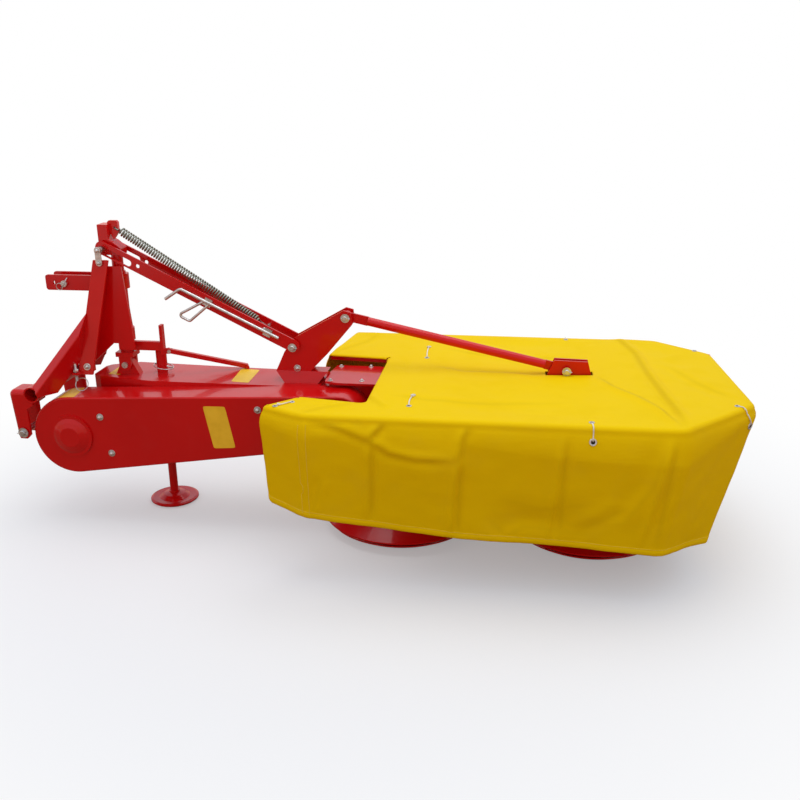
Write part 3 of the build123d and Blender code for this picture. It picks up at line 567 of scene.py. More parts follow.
def top_height(x, y):
    """Height of the top panel, which sags between the tubes and only stands proud over them."""
    loose = unheld(x, y)
    sag = 0.0
    for low, high, depth in FIELDS:
        if low < x < high:
            sag = depth * sin(pi * (x - low) / (high - low))
    waves = 2.6 * ripple(x, y, 5, 260) + 1.3 * ripple(x, y, 9, 90)
    fold = press(Vector((x, y)), TOP_FOLDS)
    return (TOP_Z + (waves - sag) * loose + lift(Vector((x, y)), TOP_RIDGES)
            + (fold if fold > 0 else fold * max(loose, 0.2)))


print("top in the middle:", round(top_height(700, 0)), "mm")

# %% [markdown]
# The skirt is looser than the top. At the rim it slopes outwards to a soft crest, and from there it
# hangs back to the hem. The crest's depth changes from fold to fold, so it comes from a table. Slow
# waves grow towards the hem, and a doubled strip of cloth covers the seam.

# %% Shape the skirt
# depth of the crest under the rim against x, on the near side and on the others
CREST = ((-138, 70), (0, 52), (127, 84), (300, 146), (462, 146), (486, 62), (700, 84), (1000, 104),
         (1264, 110))
CREST_ELSEWHERE = ((-330, 44), (0, 90), (1264, 110), (1500, 34), (1600, 26))
STAND_OUT, STAND_SHARE = 8, 0.19     # the crest stands out by the first, and this share of its depth
ROUND = 1.7                          # how round the slope down to the crest is
SEAM_X = (-163.0, -112.0)            # edges of the doubled strip at the seam
SEAM_PROUD = 2.6


def skirt_push(x, z, below, drop, s, near):
    """How far the skirt stands out at below millimetres under the rim; s runs along the rim."""
    crest = between(CREST if near else CREST_ELSEWHERE, x)
    rise = STAND_OUT + STAND_SHARE * crest
    if below < crest:
        push = rise * (1 - exp(-ROUND * below / crest)) / (1 - exp(-ROUND))
    else:
        push = rise * (drop - below) / (drop - crest)
    fall = below / drop
    looseness = 4.0 if near else 11.0
    push += fall * (5.0 * sin(s / 95.0 + 1.0) + looseness * ripple(s, 3, z, 240))
    push += 1.6 * ripple(s, 8, z, 70) * min(1.0, fall * 8)
    if near:
        push += press(Vector((x, z)), SKIRT_FOLDS) * min(1.0, below / 18)
        push += SEAM_PROUD if SEAM_X[0] < x < SEAM_X[1] else 0.0
    return push


print("skirt half way down:", round(skirt_push(700, 450, 220, 440, 0, True), 1), "mm out")

# %% [markdown]
# Now the cloth itself, first the top panel. It is triangulated inside the outline, with a fine grid
# of points whose rows are staggered, so that creases have vertices to bend at in every direction. A
# slit is left open for the bracket of the stay.

# %% Cut the top panel
GRID = 13.0                             # between the points of the grid
RIM_CLEAR, SLIT_CLEAR = 0.6 * GRID, 6   # from the grid to the rim, and to the slit
SLIT = (778.0, 976.0, 13.0, 67.0)       # x, x, y, y


def outward(points, i):
    """The level direction straight out of the rim at point i."""
    ahead, behind = Vector(points[(i + 1) % len(points)][:2]), Vector(points[i - 1][:2])
    along = (ahead - behind).normalized()
    return Vector((-along.y, along.x))


def top_panel(ring):
    """Vertices and triangles of the top, and where each point of the ring went."""
    low = [min(p[k] for p in ring) for k in (0, 1)]
    high = [max(p[k] for p in ring) for k in (0, 1)]
    grid = []
    for j in range(int((high[1] - low[1]) / GRID)):
        for i in range(int((high[0] - low[0]) / GRID)):
            spot = Vector((low[0] + (i + 0.5 * (j % 2) + 0.4) * GRID, low[1] + (j + 0.5) * GRID))
            if min((spot - p).length_squared for p in ring) > RIM_CLEAR ** 2:
                grid.append(spot)
    x0, x1, y0, y1 = SLIT
    slit = [Vector(corner) for corner in ((x0, y0), (x1, y0), (x1, y1), (x0, y1))]
    grid = [p for p in grid if not (x0 - SLIT_CLEAR < p.x < x1 + SLIT_CLEAR
                                    and y0 - SLIT_CLEAR < p.y < y1 + SLIT_CLEAR)]
    first = len(ring)
    edges = [(first + k, first + (k + 1) % 4) for k in range(4)]
    spots, _, faces, origins, _, _ = delaunay_2d_cdt(ring + slit + grid, edges,
                                                     [list(range(len(ring)))[::-1]], 1, 0.01)
    kept = []
    for face in faces:
        middle = sum((spots[v] for v in face), Vector((0, 0))) / len(face)
        if not (x0 < middle.x < x1 and y0 < middle.y < y1):
            kept.append(face)
    where = {origin[0]: k for k, origin in enumerate(origins) if origin}
    return spots, kept, [where[k] for k in range(len(ring))]


outs = [outward(rim, i) for i in range(len(rim))]
ring = [Vector(p[:2]) - TURN * out for p, out in zip(rim, outs)]
spots, faces, ids = top_panel(ring)
print("top panel:", len(faces), "triangles")

# %% [markdown]
# The strips leave the same outline points as the panel, so the sheet has no hidden gap. One column of
# the skirt turns down round the rim and then falls to the hem. There the cloth is turned up and sewn,
# which makes the last two centimetres a little thicker.

# %% Hang one column of the skirt
RIM_ANGLES = (0.26, 0.52, 0.79, 1.05, 1.31, 1.57)     # a quarter turn in six steps
ROWS = 38                                             # of points from the rim to the hem
HEM_TURN, HEM_PROUD = 22.0, 1.6


def skirt_column(x, y, u, s, out):
    """Points of one column of the skirt, from just below the top panel to the hem."""
    edge = int(u % len(CORNERS))
    first, second = CORNERS[edge], CORNERS[(edge + 1) % len(CORNERS)]
    share = u % len(CORNERS) - edge
    shift = Vector([first[k] + (second[k] - first[k]) * share for k in (2, 3)])
    top = top_height(x - TURN * out.x, y - TURN * out.y)
    drop = top - TURN - between(HEM, x + shift.x)
    column = []
    for angle in RIM_ANGLES:
        reach = TURN * (sin(angle) - 1)
        column.append((x + out.x * reach, y + out.y * reach, top - TURN * (1 - cos(angle))))
    depths = [k / ROWS * (drop - HEM_TURN) for k in range(1, ROWS + 1)]
    for below in depths + [drop - HEM_TURN + 2, drop - 3, drop]:
        push = skirt_push(x, top - TURN - below, below, drop, s, edge == NEAR_EDGE)
        push += HEM_PROUD if 2 < drop - below < HEM_TURN - 1 else 0.0
        fall = below / drop
        column.append((x + shift.x * fall + out.x * push, y + shift.y * fall + out.y * push,
                       top - TURN - below))
    return column


print("points in a column:", len(skirt_column(*rim[0], 0.0, outs[0])))

# %% [markdown]
# Sewing walks once round the rim. At each point it hangs a column of the skirt, or, along the notch,
# wraps the edge round the tube. Then it joins each column to the next one with faces.

# %% Sew the cover
# section of the edge rolled round the tube: out from the ring, height
ROLL = ((13, 714), (17.5, 711.5), (20.5, 707), (22, 701), (21.2, 692), (18, 685.5), (12, 682),
        (0, 681), (-12, 681), (-23, 682.5))
WRAPS = (("roll", NOTCH_START, ROLL_END, ROLL), ("lip", ROLL_END, NOTCH_END, ROLL[:3]))
STITCH_OUT, STITCH_UP = 0.7, 4        # from the cloth, and from the row of points above the hem


def adjoining(u, v):
    """Whether two points of the rim are next to each other, also across the start of the rim."""
    return abs(u - v) < 1 or abs(u - v) > len(CORNERS) - 1


def sew_cover():
    """The sheet as a bmesh, and the line along which its hem is sewn."""
    sheet = bmesh.new()
    top = [sheet.verts.new((p.x, p.y, top_height(p.x, p.y))) for p in spots]
    for face in faces:
        sheet.faces.new([top[v] for v in face])
    walk = 0.0
    strips = {"skirt": [], "roll": [], "lip": []}
    sewn = []
    for i in list(range(len(rim))) + [0]:
        x, y, u = rim[i]
        walk += (Vector((x, y)) - Vector(rim[i - 1][:2])).length
        u %= len(CORNERS)
        head = top[ids[i]]
        if u >= NOTCH_END or u <= NOTCH_START:
            column = skirt_column(x, y, u, walk, outs[i])
            sewn.append((u, Vector(column[-4]) + outs[i].to_3d() * STITCH_OUT
                         + Vector((0, 0, STITCH_UP))))
            strips["skirt"].append((u, [head] + [sheet.verts.new(p) for p in column]))
        for name, first, last, section in WRAPS:
            if first <= u <= last + 0.01:       # a little over, so that the last column is in
                wrap = [(ring[i].x + outs[i].x * a, ring[i].y + outs[i].y * a, z) for a, z in section]
                strips[name].append((u, [head] + [sheet.verts.new(p) for p in wrap]))
    for columns in strips.values():
        for (u, left), (v, right) in zip(columns, columns[1:]):
            if adjoining(u, v):
                for a, b, c, d in zip(left, left[1:], right[1:], right):
                    sheet.faces.new((a, b, c, d))
    return sheet, sewn


sheet, sewn = sew_cover()
cover = finished("cover", sheet, CLOTH)
if sum(face.normal.z * face.area for face in cover.data.polygons) < 0:
    cover.data.flip_normals()
skin = BVHTree.FromPolygons([v.co * 1000 for v in cover.data.vertices],
                            [face.vertices for face in cover.data.polygons])
print("single sheet:", len(cover.data.polygons), "faces")

# %% [markdown]
# Each vertex now gets the shade painted on its crease, for the cloth finish to read. After that the
# sheet
# gets its thickness. The order matters: a Solidify modifier copies the number to the inner side too.

# %% Paint shade on the creases and thicken the sheet
NEAR_Y, FACING = -560, 0.6        # where the near skirt hangs, and how squarely a face looks that way
# the share of the painted crease shade that the near skirt gets
SKIRT_SHADE = 0.6
CLOTH_THICKNESS = 0.0014


def crease_shade_at(v):
    """How much shade is painted on a vertex of the cover."""
    x, y, z = v.co * 1000
    if y < NEAR_Y and v.normal.y < -FACING:
        return SKIRT_SHADE * painted_shade(Vector((x, z)), SKIRT_FOLDS)
    return painted_shade(Vector((x, y)), TOP_FOLDS) if v.normal.z > FACING else 0.0


# painted shade of each vertex's crease, stored for the cloth finish
dirt_and_shade = [crease_shade_at(v) for v in cover.data.vertices]
crease = cover.data.attributes.new("crease", "FLOAT", "POINT")
crease.data.foreach_set("value", dirt_and_shade)
thick = cover.modifiers.new("thickness", "SOLIDIFY")
thick.thickness, thick.offset = CLOTH_THICKNESS, -1.0
settled(cover)
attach(cover, "boom")
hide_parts("canopy_cover")

# %% [markdown]
# ## One tree that sets shapes on points
# Bolts, washers, eyelets and pin ends are the same few shapes over and over. Copies could be linked
# by hand, but Geometry Nodes set one shape on many points: each point carries the direction that its
# shape faces and its size. The stitches further on grow in the same way along a path. So a `Growth`
# is a net that knows the start and the end which both trees share: named inputs, and at the end
# Realize Instances and Set Material, so that the result is plain geometry.

# %% Build the tree
class Growth(Net):
    """A geometry tree with named inputs, which sets a shape on points."""

    def __init__(self, name, **kinds):
        super().__init__(bpy.data.node_groups.new(name, "GeometryNodeTree"))
        sockets = self.tree.interface
        sockets.new_socket("Geometry", in_out="OUTPUT", socket_type="NodeSocketGeometry")
        self.keys = {}
        for key, kind in kinds.items():
            made = sockets.new_socket(key, in_out="INPUT", socket_type="NodeSocket" + kind)
            self.keys[key] = made.identifier
        start = self.node("NodeGroupInput").socket.node
        self.given = {key: Wire(self, start.outputs[key]) for key in kinds}

    def end(self, points, shape, direction, size):
        """Sets the shape on the points and makes the result plain geometry with its finish."""
        turn = self.node("FunctionNodeAlignRotationToVector", {"axis": "Z"},
                         {"Vector": direction}, "Rotation")
        many = self.node("GeometryNodeInstanceOnPoints", None,
                         {"Points": points, "Instance": shape, "Rotation": turn, "Scale": size})
        real = self.node("GeometryNodeRealizeInstances", None, {"Geometry": many})
        dressed = self.node("GeometryNodeSetMaterial", None,
                            {"Geometry": real, "Material": self.given["Finish"]})
        self.node("NodeGroupOutput", None, {"Geometry": dressed})

    def worked_on(self, name, mesh, **values):
        """A piece: the mesh with this tree worked on it, with the given inputs."""
        piece = bpy.data.objects.new(name, mesh)
        bpy.context.scene.collection.objects.link(piece)
        growth = piece.modifiers.new("growth", "NODES")
        growth.node_group = self.tree
        for key, value in values.items():
            growth[self.keys[key]] = value
        return settled(piece)


def shapes_on_points():
    net = Growth("shapes_on_points", Points="Geometry", Shape="Object", Finish="Material")
    one = net.node("GeometryNodeObjectInfo", None, {"Object": net.given["Shape"]}, "Geometry")
    facing = net.node("GeometryNodeInputNamedAttribute", {"data_type": "FLOAT_VECTOR"},
                      {"Name": "facing"}, "Attribute")
    size = net.node("GeometryNodeInputNamedAttribute", {"data_type": "FLOAT"},
                    {"Name": "size"}, "Attribute")
    net.end(net.given["Points"], one, facing, size)
    return net


ON_POINTS = shapes_on_points()
print(ON_POINTS.tree.name, "takes", ", ".join(ON_POINTS.keys))

# %% [markdown]
# The points are a mesh without edges or faces. A helper fills it from a table of places, directions
# and sizes, works the tree on it and sends the piece off with its body.

# %% Set a shape on a table of points
def set_on(name, body, shape, finish, spots):
    """One piece: the shape set on each (place, facing, size) of spots, in millimetres."""
    model = finished(name + "_model", shape, finish, smooth=False)
    mesh = bpy.data.meshes.new(name)
    mesh.from_pydata([Vector(place) * 0.001 for place, _, _ in spots], [], [])
    facing = mesh.attributes.new("facing", "FLOAT_VECTOR", "POINT")
    facing.data.foreach_set("vector", [c for _, direction, _ in spots for c in direction])
    size = mesh.attributes.new("size", "FLOAT", "POINT")
    size.data.foreach_set("value", [scale for _, _, scale in spots])
    piece = ON_POINTS.worked_on(name, mesh, Shape=model, Finish=finish)
    bpy.data.objects.remove(model)
    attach(piece, body)
    print(name + ":", len(spots), "shapes,", len(piece.data.polygons), "faces")
    return piece


def touch(tree, spot):
    """The nearest place on a surface, and the direction the surface faces there."""
    place, facing, _, _ = tree.find_nearest(Vector(spot))
    return place, facing


print("the cover under (500, 0):", [round(c, 1) for c in touch(skin, (500, 0, TOP_Z))[0]])

# %% [markdown]
# ## Eyelets and ties
# The cloth is laced to its frame through pairs of metal eyelets. Each pair is joined by a short
# white tie that comes up through one eyelet, crosses the cloth and goes down the other, with a
# knot at one end. Typed heights would leave them floating once the cloth changes, so the nearest
# point of the sheet gives each eyelet its place and its direction, even over the rim.

# %% Set the eyelets
PAIRS = (((245, 358, 720), (254, 179, 720)), ((254, -345, 720), (252, -462, 720)),
         ((932, -562, 722), (936, -640, 668)), ((1492, -320, 722), (1560, -350, 640)),
         ((885, 560, 722), (888, 640, 668)), ((1461, 430, 722), (1490, 505, 660)),
         ((-258, -522, 722), (-205, -469, 722)))
ON_TOP, ON_SKIRT = 1.15, 1.5      # sizes of the eyelets
EYELET_R, LIP_OUT, LIP_UP = 7.2, 2.4, 1.3


def eyelet():
    shape = bmesh.new()
    turned(shape, [(EYELET_R + LIP_OUT * cos(tau * k / 8), 0.9 + LIP_UP * sin(tau * k / 8))
                   for k in range(9)], 20)
    return shape


# a dark disc in each eyelet, which paints the shade inside its hole
def shade_disc():
    shape = bmesh.new()
    turned(shape, [(0, 0.2), (6.2, 0.2), (6.2, 1.1), (0, 1.1)], 16)
    return shape


spots = [touch(skin, spot) + (ON_SKIRT if spot[2] < 700 else ON_TOP,)
         for pair in PAIRS for spot in pair]
eyelets = set_on("eyelets", "boom", eyelet(), ZINC, spots)
hole_shades = set_on("eyelet_holes", "boom", shade_disc(), HOLE_SHADE, spots)

# %% Lace the ties
TIE_R, KNOT_R, KNOT_SIZE = 2.4, 2.0, 2.2
INSIDE, KNOT_AT = 4, 15           # along the tie from its eyelet: its end, its knot
ARCH, BOW = 2.2, 7                # how far it rises in the middle, and at most bends aside
random.seed(7)
shape = bmesh.new()
for first, last in PAIRS:
    (a, up_a), (b, up_b) = touch(skin, first), touch(skin, last)
    ahead = (b - a).normalized()
    start, end = a + ahead * INSIDE, b - ahead * INSIDE
    path = [start - up_a, start + up_a * 3]
    bow = random.uniform(-BOW, BOW)
    for k in range(1, 16):
        share = k / 16
        place, up = touch(skin, start.lerp(end, share) + (up_a + up_b) * 12)
        across = up.cross(b - a).normalized()
        path.append(place + up * (TIE_R + ARCH * sin(pi * share)) + across * bow * sin(pi * share))
    path += [end + up_b * 3, end - up_b]
    wire(shape, path, TIE_R)
    side = up_a.cross(ahead).normalized()
    knot = []
    for k in range(31):           # a trefoil, the simplest knot there is
        t = tau * k / 30
        knot.append(a + ahead * KNOT_AT + up_a * (5.0 + 2.0 * sin(3 * t))
                    + side * KNOT_SIZE * (sin(t) + 2 * sin(2 * t))
                    + ahead * KNOT_SIZE * (cos(t) - 2 * cos(2 * t)))
    wire(shape, knot, KNOT_R)
ties = finished("ties", shape, CORD)
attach(ties, "boom")
print("ties:", len(PAIRS), "pairs")

# %% [markdown]
# ## Stitches
# A sewn line is one short thread shape repeated along a path. A dashed line in the material would be
# lighter, but it stays flat where the light grazes the hem. The second tree turns a path into a
# curve, spaces points along it, and lays a stitch at each, turned to follow the path. The hem has
# one line all round, and the doubled strip at the seam has one along each edge.

# %% Build the stitch tree
def stitches_on_path():
    net = Growth("stitches_on_path", Path="Geometry", Spacing="Float", Length="Float",
                 Thread="Float", Finish="Material")
    curve = net.node("GeometryNodeMeshToCurve", None, {"Mesh": net.given["Path"]})
    spaced = net.node("GeometryNodeResampleCurve", {"mode": "LENGTH"},
                      {"Curve": curve, "Length": net.given["Spacing"]})
    stitch = net.node("GeometryNodeMeshCylinder", None, {
        "Vertices": 5, "Radius": net.given["Thread"], "Depth": net.given["Length"]}, "Mesh")
    net.end(spaced, stitch, net.node("GeometryNodeInputTangent"), (1, 1, 1))
    return net


ON_PATH = stitches_on_path()
print(ON_PATH.tree.name, "takes", ", ".join(ON_PATH.keys))

# %% Sew the hem and the seam
SEAM_IN = 6                       # from the doubled strip's edge to its line of stitches
SEAM_Z = range(318, 690, 9)       # heights of the points along that line
lines = [(left, right) for (u, left), (v, right) in zip(sewn, sewn[1:]) if adjoining(u, v)]
for x in (SEAM_X[0] + SEAM_IN, SEAM_X[1] - SEAM_IN):
    down = [touch(skin, (x, -640, z)) for z in SEAM_Z]
    down = [place + facing * STITCH_OUT for place, facing in down]
    lines += list(zip(down, down[1:]))
mesh = bpy.data.meshes.new("stitches")
mesh.from_pydata([p * 0.001 for line in lines for p in line],
                 [(2 * k, 2 * k + 1) for k in range(len(lines))], [])
shape = bmesh.new()
shape.from_mesh(mesh)
bmesh.ops.remove_doubles(shape, verts=shape.verts, dist=0.00002)
shape.to_mesh(mesh)
shape.free()
stitches = ON_PATH.worked_on("stitches", mesh, Spacing=0.0078, Length=0.0052, Thread=0.0009,
                             Finish=THREAD)
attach(stitches, "boom")
print("stitches:", len(stitches.data.polygons) // 7)

# %% [markdown]
# The sheet was cut from cloth a little over two metres by not quite three, laid flat, with the corners
# and the notch cut away.

# %% [markdown]
# ## The lift spring
# A long coil spring pulls on the lifting link. It is one wire: a hook through the lug on the mast
# head, some sixty turns, and a second hook round a cross pin between the two arms of the link. A
# Screw modifier makes the turns but not the hooks, so the wire's points are worked out in one list.

# %% Lay out the wire of the spring
HOOK_TOP, HOOK_LOW = Vector((-1088, 40, 1300)), Vector((-436, 40, 878))
SIDE = Vector((0, 1, 0))
AXIS = (HOOK_LOW - HOOK_TOP).normalized()
LIFT = AXIS.cross(SIDE)
TURNS, COIL_R, WIRE_R = 60, 16.0, 3.7
TOP_BEND, LOW_BEND, NECK = 11, 9, 5        # radii of the two hooks, and of the coil where it ends
COIL_START, COIL_END = 25.0, 46.0          # from each hook to the coil
PER_TURN, TAPER = 20, 14                   # points in a turn, and in the taper at each end


def spring_points():
    length = (HOOK_LOW - HOOK_TOP).length
    points = []
    for k in range(13):                     # the hook at the mast head
        angle = -0.75 * pi + 1.5 * pi * k / 12
        points.append(HOOK_TOP + AXIS * (TOP_BEND - TOP_BEND * cos(angle))
                      + SIDE * TOP_BEND * sin(angle))
    start, end = COIL_START, length - COIL_END
    steps = TURNS * PER_TURN
    for k in range(steps + 1):
        angle = tau * k / PER_TURN + 0.5 * pi
        grow = min(1.0, k / TAPER, (steps - k) / TAPER)
        radius = NECK + (COIL_R - NECK) * grow
        points.append(HOOK_TOP + AXIS * (start + (end - start) * k / steps)
                      + SIDE * radius * sin(angle) + LIFT * radius * cos(angle))
    for k in range(13):                     # the hook at the cross pin
        angle = -0.5 * pi + 1.6 * pi * k / 12
        points.append(HOOK_LOW + AXIS * LOW_BEND * sin(angle)
                      - LIFT * LOW_BEND * cos(angle) * (1 if k else 0.6))
    return points


print("points along the wire:", len(spring_points()))

# %% [markdown]
# As the boom rises the spring grows shorter. It rides on the link, so the way in which the lug comes
# nearer is worked out as the link sees it, which gives the line that the piece would be squashed along.
# Turning the lug about the two pins gives the line and the share that is left, with nothing to try out.

# %% Wind the spring
TILT_PIN, LINK_PIN = Vector((-1096, 40, 690)), Vector((-314, 40, 800))
FULL_TILT, LINK_SHARE = radians(12), 0.2775      # the link turns back by this share of the tilt
shape = bmesh.new()
wire(shape, spring_points(), WIRE_R)
spring = finished("coil_spring", shape, SPRING_STEEL)
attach(spring, "link")
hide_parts("lift_spring")
seen = HOOK_TOP
for pin, angle in ((TILT_PIN, FULL_TILT), (LINK_PIN, -FULL_TILT * LINK_SHARE)):
    seen = pin + Matrix.Rotation(angle, 3, "Y") @ (seen - pin)
travel = seen - HOOK_TOP
way = travel.normalized()
keep = 1 - travel.length / abs((HOOK_TOP - HOOK_LOW).dot(way))
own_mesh(spring)
print("spring:", TURNS, "turns,", len(spring.data.polygons), "faces")

# %% Add the cross pin
shape = bmesh.new()
turned(shape, ((0, -54), (8.5, -54), (9.5, -52.5), (9.5, -50), (5.8, -50), (5.8, 50), (9.5, 50),
               (9.5, 52.5), (8.5, 54), (0, 54)), 20)
bmesh.ops.rotate(shape, verts=shape.verts, matrix=Matrix.Rotation(pi / 2, 3, "X"))
bmesh.ops.translate(shape, verts=shape.verts, vec=HOOK_LOW)
cross_pin = finished("spring_cross_pin", shape, ZINC, smooth=False)
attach(cross_pin, "link")
print("cross pin at", tuple(round(c) for c in HOOK_LOW))

# %% [markdown]
# ## Bolts and pin ends
# The table below lists a rough place for each bolt and the node it is screwed to. Exact places would
# be long to type and soon out of date. The nearest point of the node gives the place and the
# direction, so a bolt can never float or sink. A bolt is drawn with a thread of radius 1, and its
# size in the table is the real thread's radius.

# %% Fit the bolts
def surface_of(name):
    mesh = frame["nodes"][name].data
    return BVHTree.FromPolygons([v.co * 1000 for v in mesh.vertices],
                                [face.vertices for face in mesh.polygons])


def fit(kind, make, tables):
    """One piece for each body: the made shape at every row's place on its node."""
    for body, rows in tables.items():
        spots = [touch(surface_of(node), (x, y, z)) + (size,) for node, x, y, z, size in rows]
        set_on(kind + "_" + body, body, make(), ZINC, spots)


def bolt():
    """A washer, a hexagon head and a rounded thread end."""
    shape = bmesh.new()
    turned(shape, ((0, 0), (1.45, 0), (1.45, 0.16), (1.36, 0.24), (0, 0.24)), 18)
    turned(shape, ((0, 0.2), (1.0, 0.2), (1.0, 0.72), (0.86, 0.84), (0, 0.84)), 6)
    turned(shape, ((0, 0.8), (0.74, 0.8), (0.70, 1.0), (0.52, 1.2), (0.26, 1.3), (0, 1.32)), 14)
    return shape


BOLTS = {"boom": (("belt_guard", -1136, -240, 517, 11), ("belt_guard", -1101, -240, 349, 11),
                  ("belt_guard", -425, -240, 580, 11), ("link_tower", -300, -60, 702, 11),
                  ("gear_box", -129, 135, 700, 8), ("gear_box", 5, 145, 700, 8),
                  ("gear_box", -138, -69, 700, 8), ("gear_box", -2, -62, 700, 8)),
         "headstock": (("brace_near", -1217, -140, 717, 11), ("brace_far", -1300, 220, 717, 11)),
         "post": (("mast_pin", -1141, 140, 1214, 10),)}
fit("bolts", bolt, BOLTS)

# %% [markdown]
# The other pins end in a washer and a split pin, bent open so that it can't fall out. The split pin
# is two bent wires and a ring, drawn for a pin of radius 1 like the bolt.

# %% Fit the split pins
def pin_end():
    """A washer, the end of the pin, and a split pin with its ring."""
    shape = bmesh.new()
    turned(shape, ((0, -0.5), (1.75, -0.5), (1.75, -0.28), (0, -0.28)), 20)
    turned(shape, ((0, -0.3), (0.97, -0.3), (0.97, 0.5), (0.82, 0.66), (0, 0.66)), 16)
    wire(shape, ring_points((1.62, 0, 0.2), 0.42, Matrix.Rotation(pi / 2, 3, "X"), 12), 0.11, 6)
    for side in (-1, 1):
        wire(shape, [(1.3, 0, 0.2 + 0.1 * side), (0, 0, 0.2 + 0.1 * side),
                     (-1.25, 0, 0.2 + 0.1 * side), (-1.7, 0.1 * side, 0.2 + 0.45 * side)], 0.1, 6)
    return shape


LINKAGE = ((-314, 800), (-80, 934), (866, 727))       # x, z of its three pins
PIN_ENDS = {"boom": [("linkage_pins", x, y, z, 11) for x, z in LINKAGE for y in (-60, 140)],
            "headstock": (("top_link_pin", -1331, -80, 1060, 8), ("top_link_pin", -1331, 160, 1060, 8),
                          ("hitch_pins", -1489, -400, 438, 13), ("hitch_pins", -1489, 480, 438, 13))}
fit("pin_ends", pin_end, PIN_ENDS)

# %% [markdown]
# ## Blank plates
# Four yellow plates are stuck on the beam and on the belt guard. They are thin film. A flat box would
# do on the flat sides but not round the guard's curved end, so each is a small sheet of squares
# pressed onto the surface below it, a hair proud of the paint, with its corners drawn in a little.

# %% Stick the plates on
PLATES = (("belt_guard", (-666, -240, 587), (-568, -240, 589), (-533, -240, 402), (-630, -240, 395)),
          ("belt_guard", (-1340, -205, 640), (-1252, -205, 640), (-1262, -78, 640), (-1342, -78, 640)),
          ("main_beam", (-1187, 14, 660), (-1133, 6, 660), (-1127, 204, 660), (-1184, 176, 660)),
          ("main_beam", (-596, -28, 660), (-514, -38, 660), (-516, 150, 660), (-606, 162, 660)))
STEPS, DRAWN_IN = 24, 0.03            # squares along a side, and how far the corners are drawn in
UNDER, OVER = 0.1, 0.6                # height of the film's two sides above the paint
shape = bmesh.new()
for node, *corners in PLATES:
    under = surface_of(node)
    a, b, c, d = (Vector(corner) for corner in corners)
    grid = []
    for i in range(STEPS + 1):
        for j in range(STEPS + 1):
            u, v = 2 * i / STEPS - 1, 2 * j / STEPS - 1
            inwards = 1 - DRAWN_IN * abs(u * v) ** 10
            share, rise = (1 + u * inwards) / 2, (1 + v * inwards) / 2
            place, up = touch(under, a.lerp(b, share).lerp(d.lerp(c, share), rise))
            grid.append([shape.verts.new(place + up * h) for h in (UNDER, OVER)])
    row = STEPS + 1
    cells = [(k, k + row, k + row + 1, k + 1) for k in range(row * STEPS) if k % row < STEPS]
    for ring in cells:
        for layer in (0, 1):
            shape.faces.new([grid[k][layer] for k in ring])
    edge = [k * row for k in range(STEPS)] + [row * STEPS + k for k in range(STEPS)]
    edge += [row * row - 1 - k * row for k in range(STEPS)] + [STEPS - k for k in range(STEPS)]
    for p, q in zip(edge, edge[1:] + edge[:1]):
        shape.faces.new((grid[p][0], grid[q][0], grid[q][1], grid[p][1]))
plates = finished("blank_plates", shape, FILM, smooth=False)
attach(plates, "boom")
print("plates:", len(PLATES))

# %% [markdown]
# ## Small parts of the hitch
# A keeper strap hangs from a hub on the mast pin, with a bolt at its foot. It is flat steel with
# round ends, so its outline is two half circles, and the slab between them is turned upright.

# %% Hang the keeper strap
STRAP_ENDS = ((-1141, 1216, 13), (-1140, 1160, -14))    # x, z, radius, below 0 for the foot
FRONT, BACK = 47.5, 43.5                                # the strap's two sides, near and far
shape = bmesh.new()
turned(shape, ((0, 12), (9, 12), (9, 44), (0, 44)), 24)
bmesh.ops.translate(shape, verts=shape.verts, vec=(-1141, 1214, 0))
edge = []
for x, z, radius in STRAP_ENDS:
    edge += [(x - radius * cos(pi * k / 12), z + radius * sin(pi * k / 12)) for k in range(13)]
slab(shape, edge, BACK, FRONT)
bmesh.ops.rotate(shape, verts=shape.verts, matrix=Matrix.Rotation(pi / 2, 3, "X"))
strap = finished("keeper_strap", shape, ZINC, smooth=False)
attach(strap, "post")
set_on("strap_bolts", "post", bolt(), ZINC,
       [((-1140, -FRONT, 1160), (0, -1, 0), 9), ((-1141, -FRONT, 1214), (0, -1, 0), 10)])
print("strap", [round(c, 3) for c in strap.dimensions])

# %% [markdown]
# A threaded stud with a round clip stands in a lug beside the near brace. A real thread is a spiral,
# but at this size rings look the same, so the stud is turned, with one ridge of its profile for each.

# %% Turn the stud and cut its lug
RIDGES, RISE = 24, 3          # of the stud's thread
shape = bmesh.new()
profile = [(0, 0), (6.0, 0)]
for k in range(RIDGES):
    profile += [(6.8, 4 + RISE * k), (5.9, 5.5 + RISE * k)]
profile += [(5.0, 80), (0, 80)]
turned(shape, profile, 14)
turned(shape, ((0, 44), (12, 44), (12, 52), (10, 54), (0, 54)), 6)
bmesh.ops.translate(shape, verts=shape.verts, vec=(-1262, -136, 652))
wire(shape, ring_points((-1244, -132, 636), 29, Matrix.Rotation(radians(62), 3, "X")), 2.1)
stud = finished("stud_and_clip", shape, ZINC, smooth=False)
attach(stud, "headstock")

shape = bmesh.new()
slab(shape, ((-1284, -84), (-1284, -138), (-1272, -152), (-1250, -152), (-1240, -138), (-1240, -84)),
     684, 692)
lug = finished("stud_lug", shape, RED, smooth=False)
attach(lug, "headstock")
print("stud and lug, of", len(stud.data.polygons) + len(lug.data.polygons), "faces")

# %% [markdown]
# Two linch pins are left: one through the end of the top link pin, and one round the sleeve of the
# support leg. Each is a straight pin with a ring of thin wire, swept along its points.

# %% Bend the clips
shape = bmesh.new()
pin_x, pin_y, pin_z = -1331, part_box("top_link_pin")[0][1] * 1000 + 4, 1060
wire(shape, [(pin_x - 15, pin_y, pin_z - 21), (pin_x + 19, pin_y, pin_z + 26)], 2.6)
wire(shape, ring_points((pin_x - 19, pin_y - 3, pin_z - 13), 15, Matrix.Rotation(pi / 2, 3, "X")), 1.6)
top_clip = finished("top_pin_clip", shape, ZINC)
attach(top_clip, "headstock")

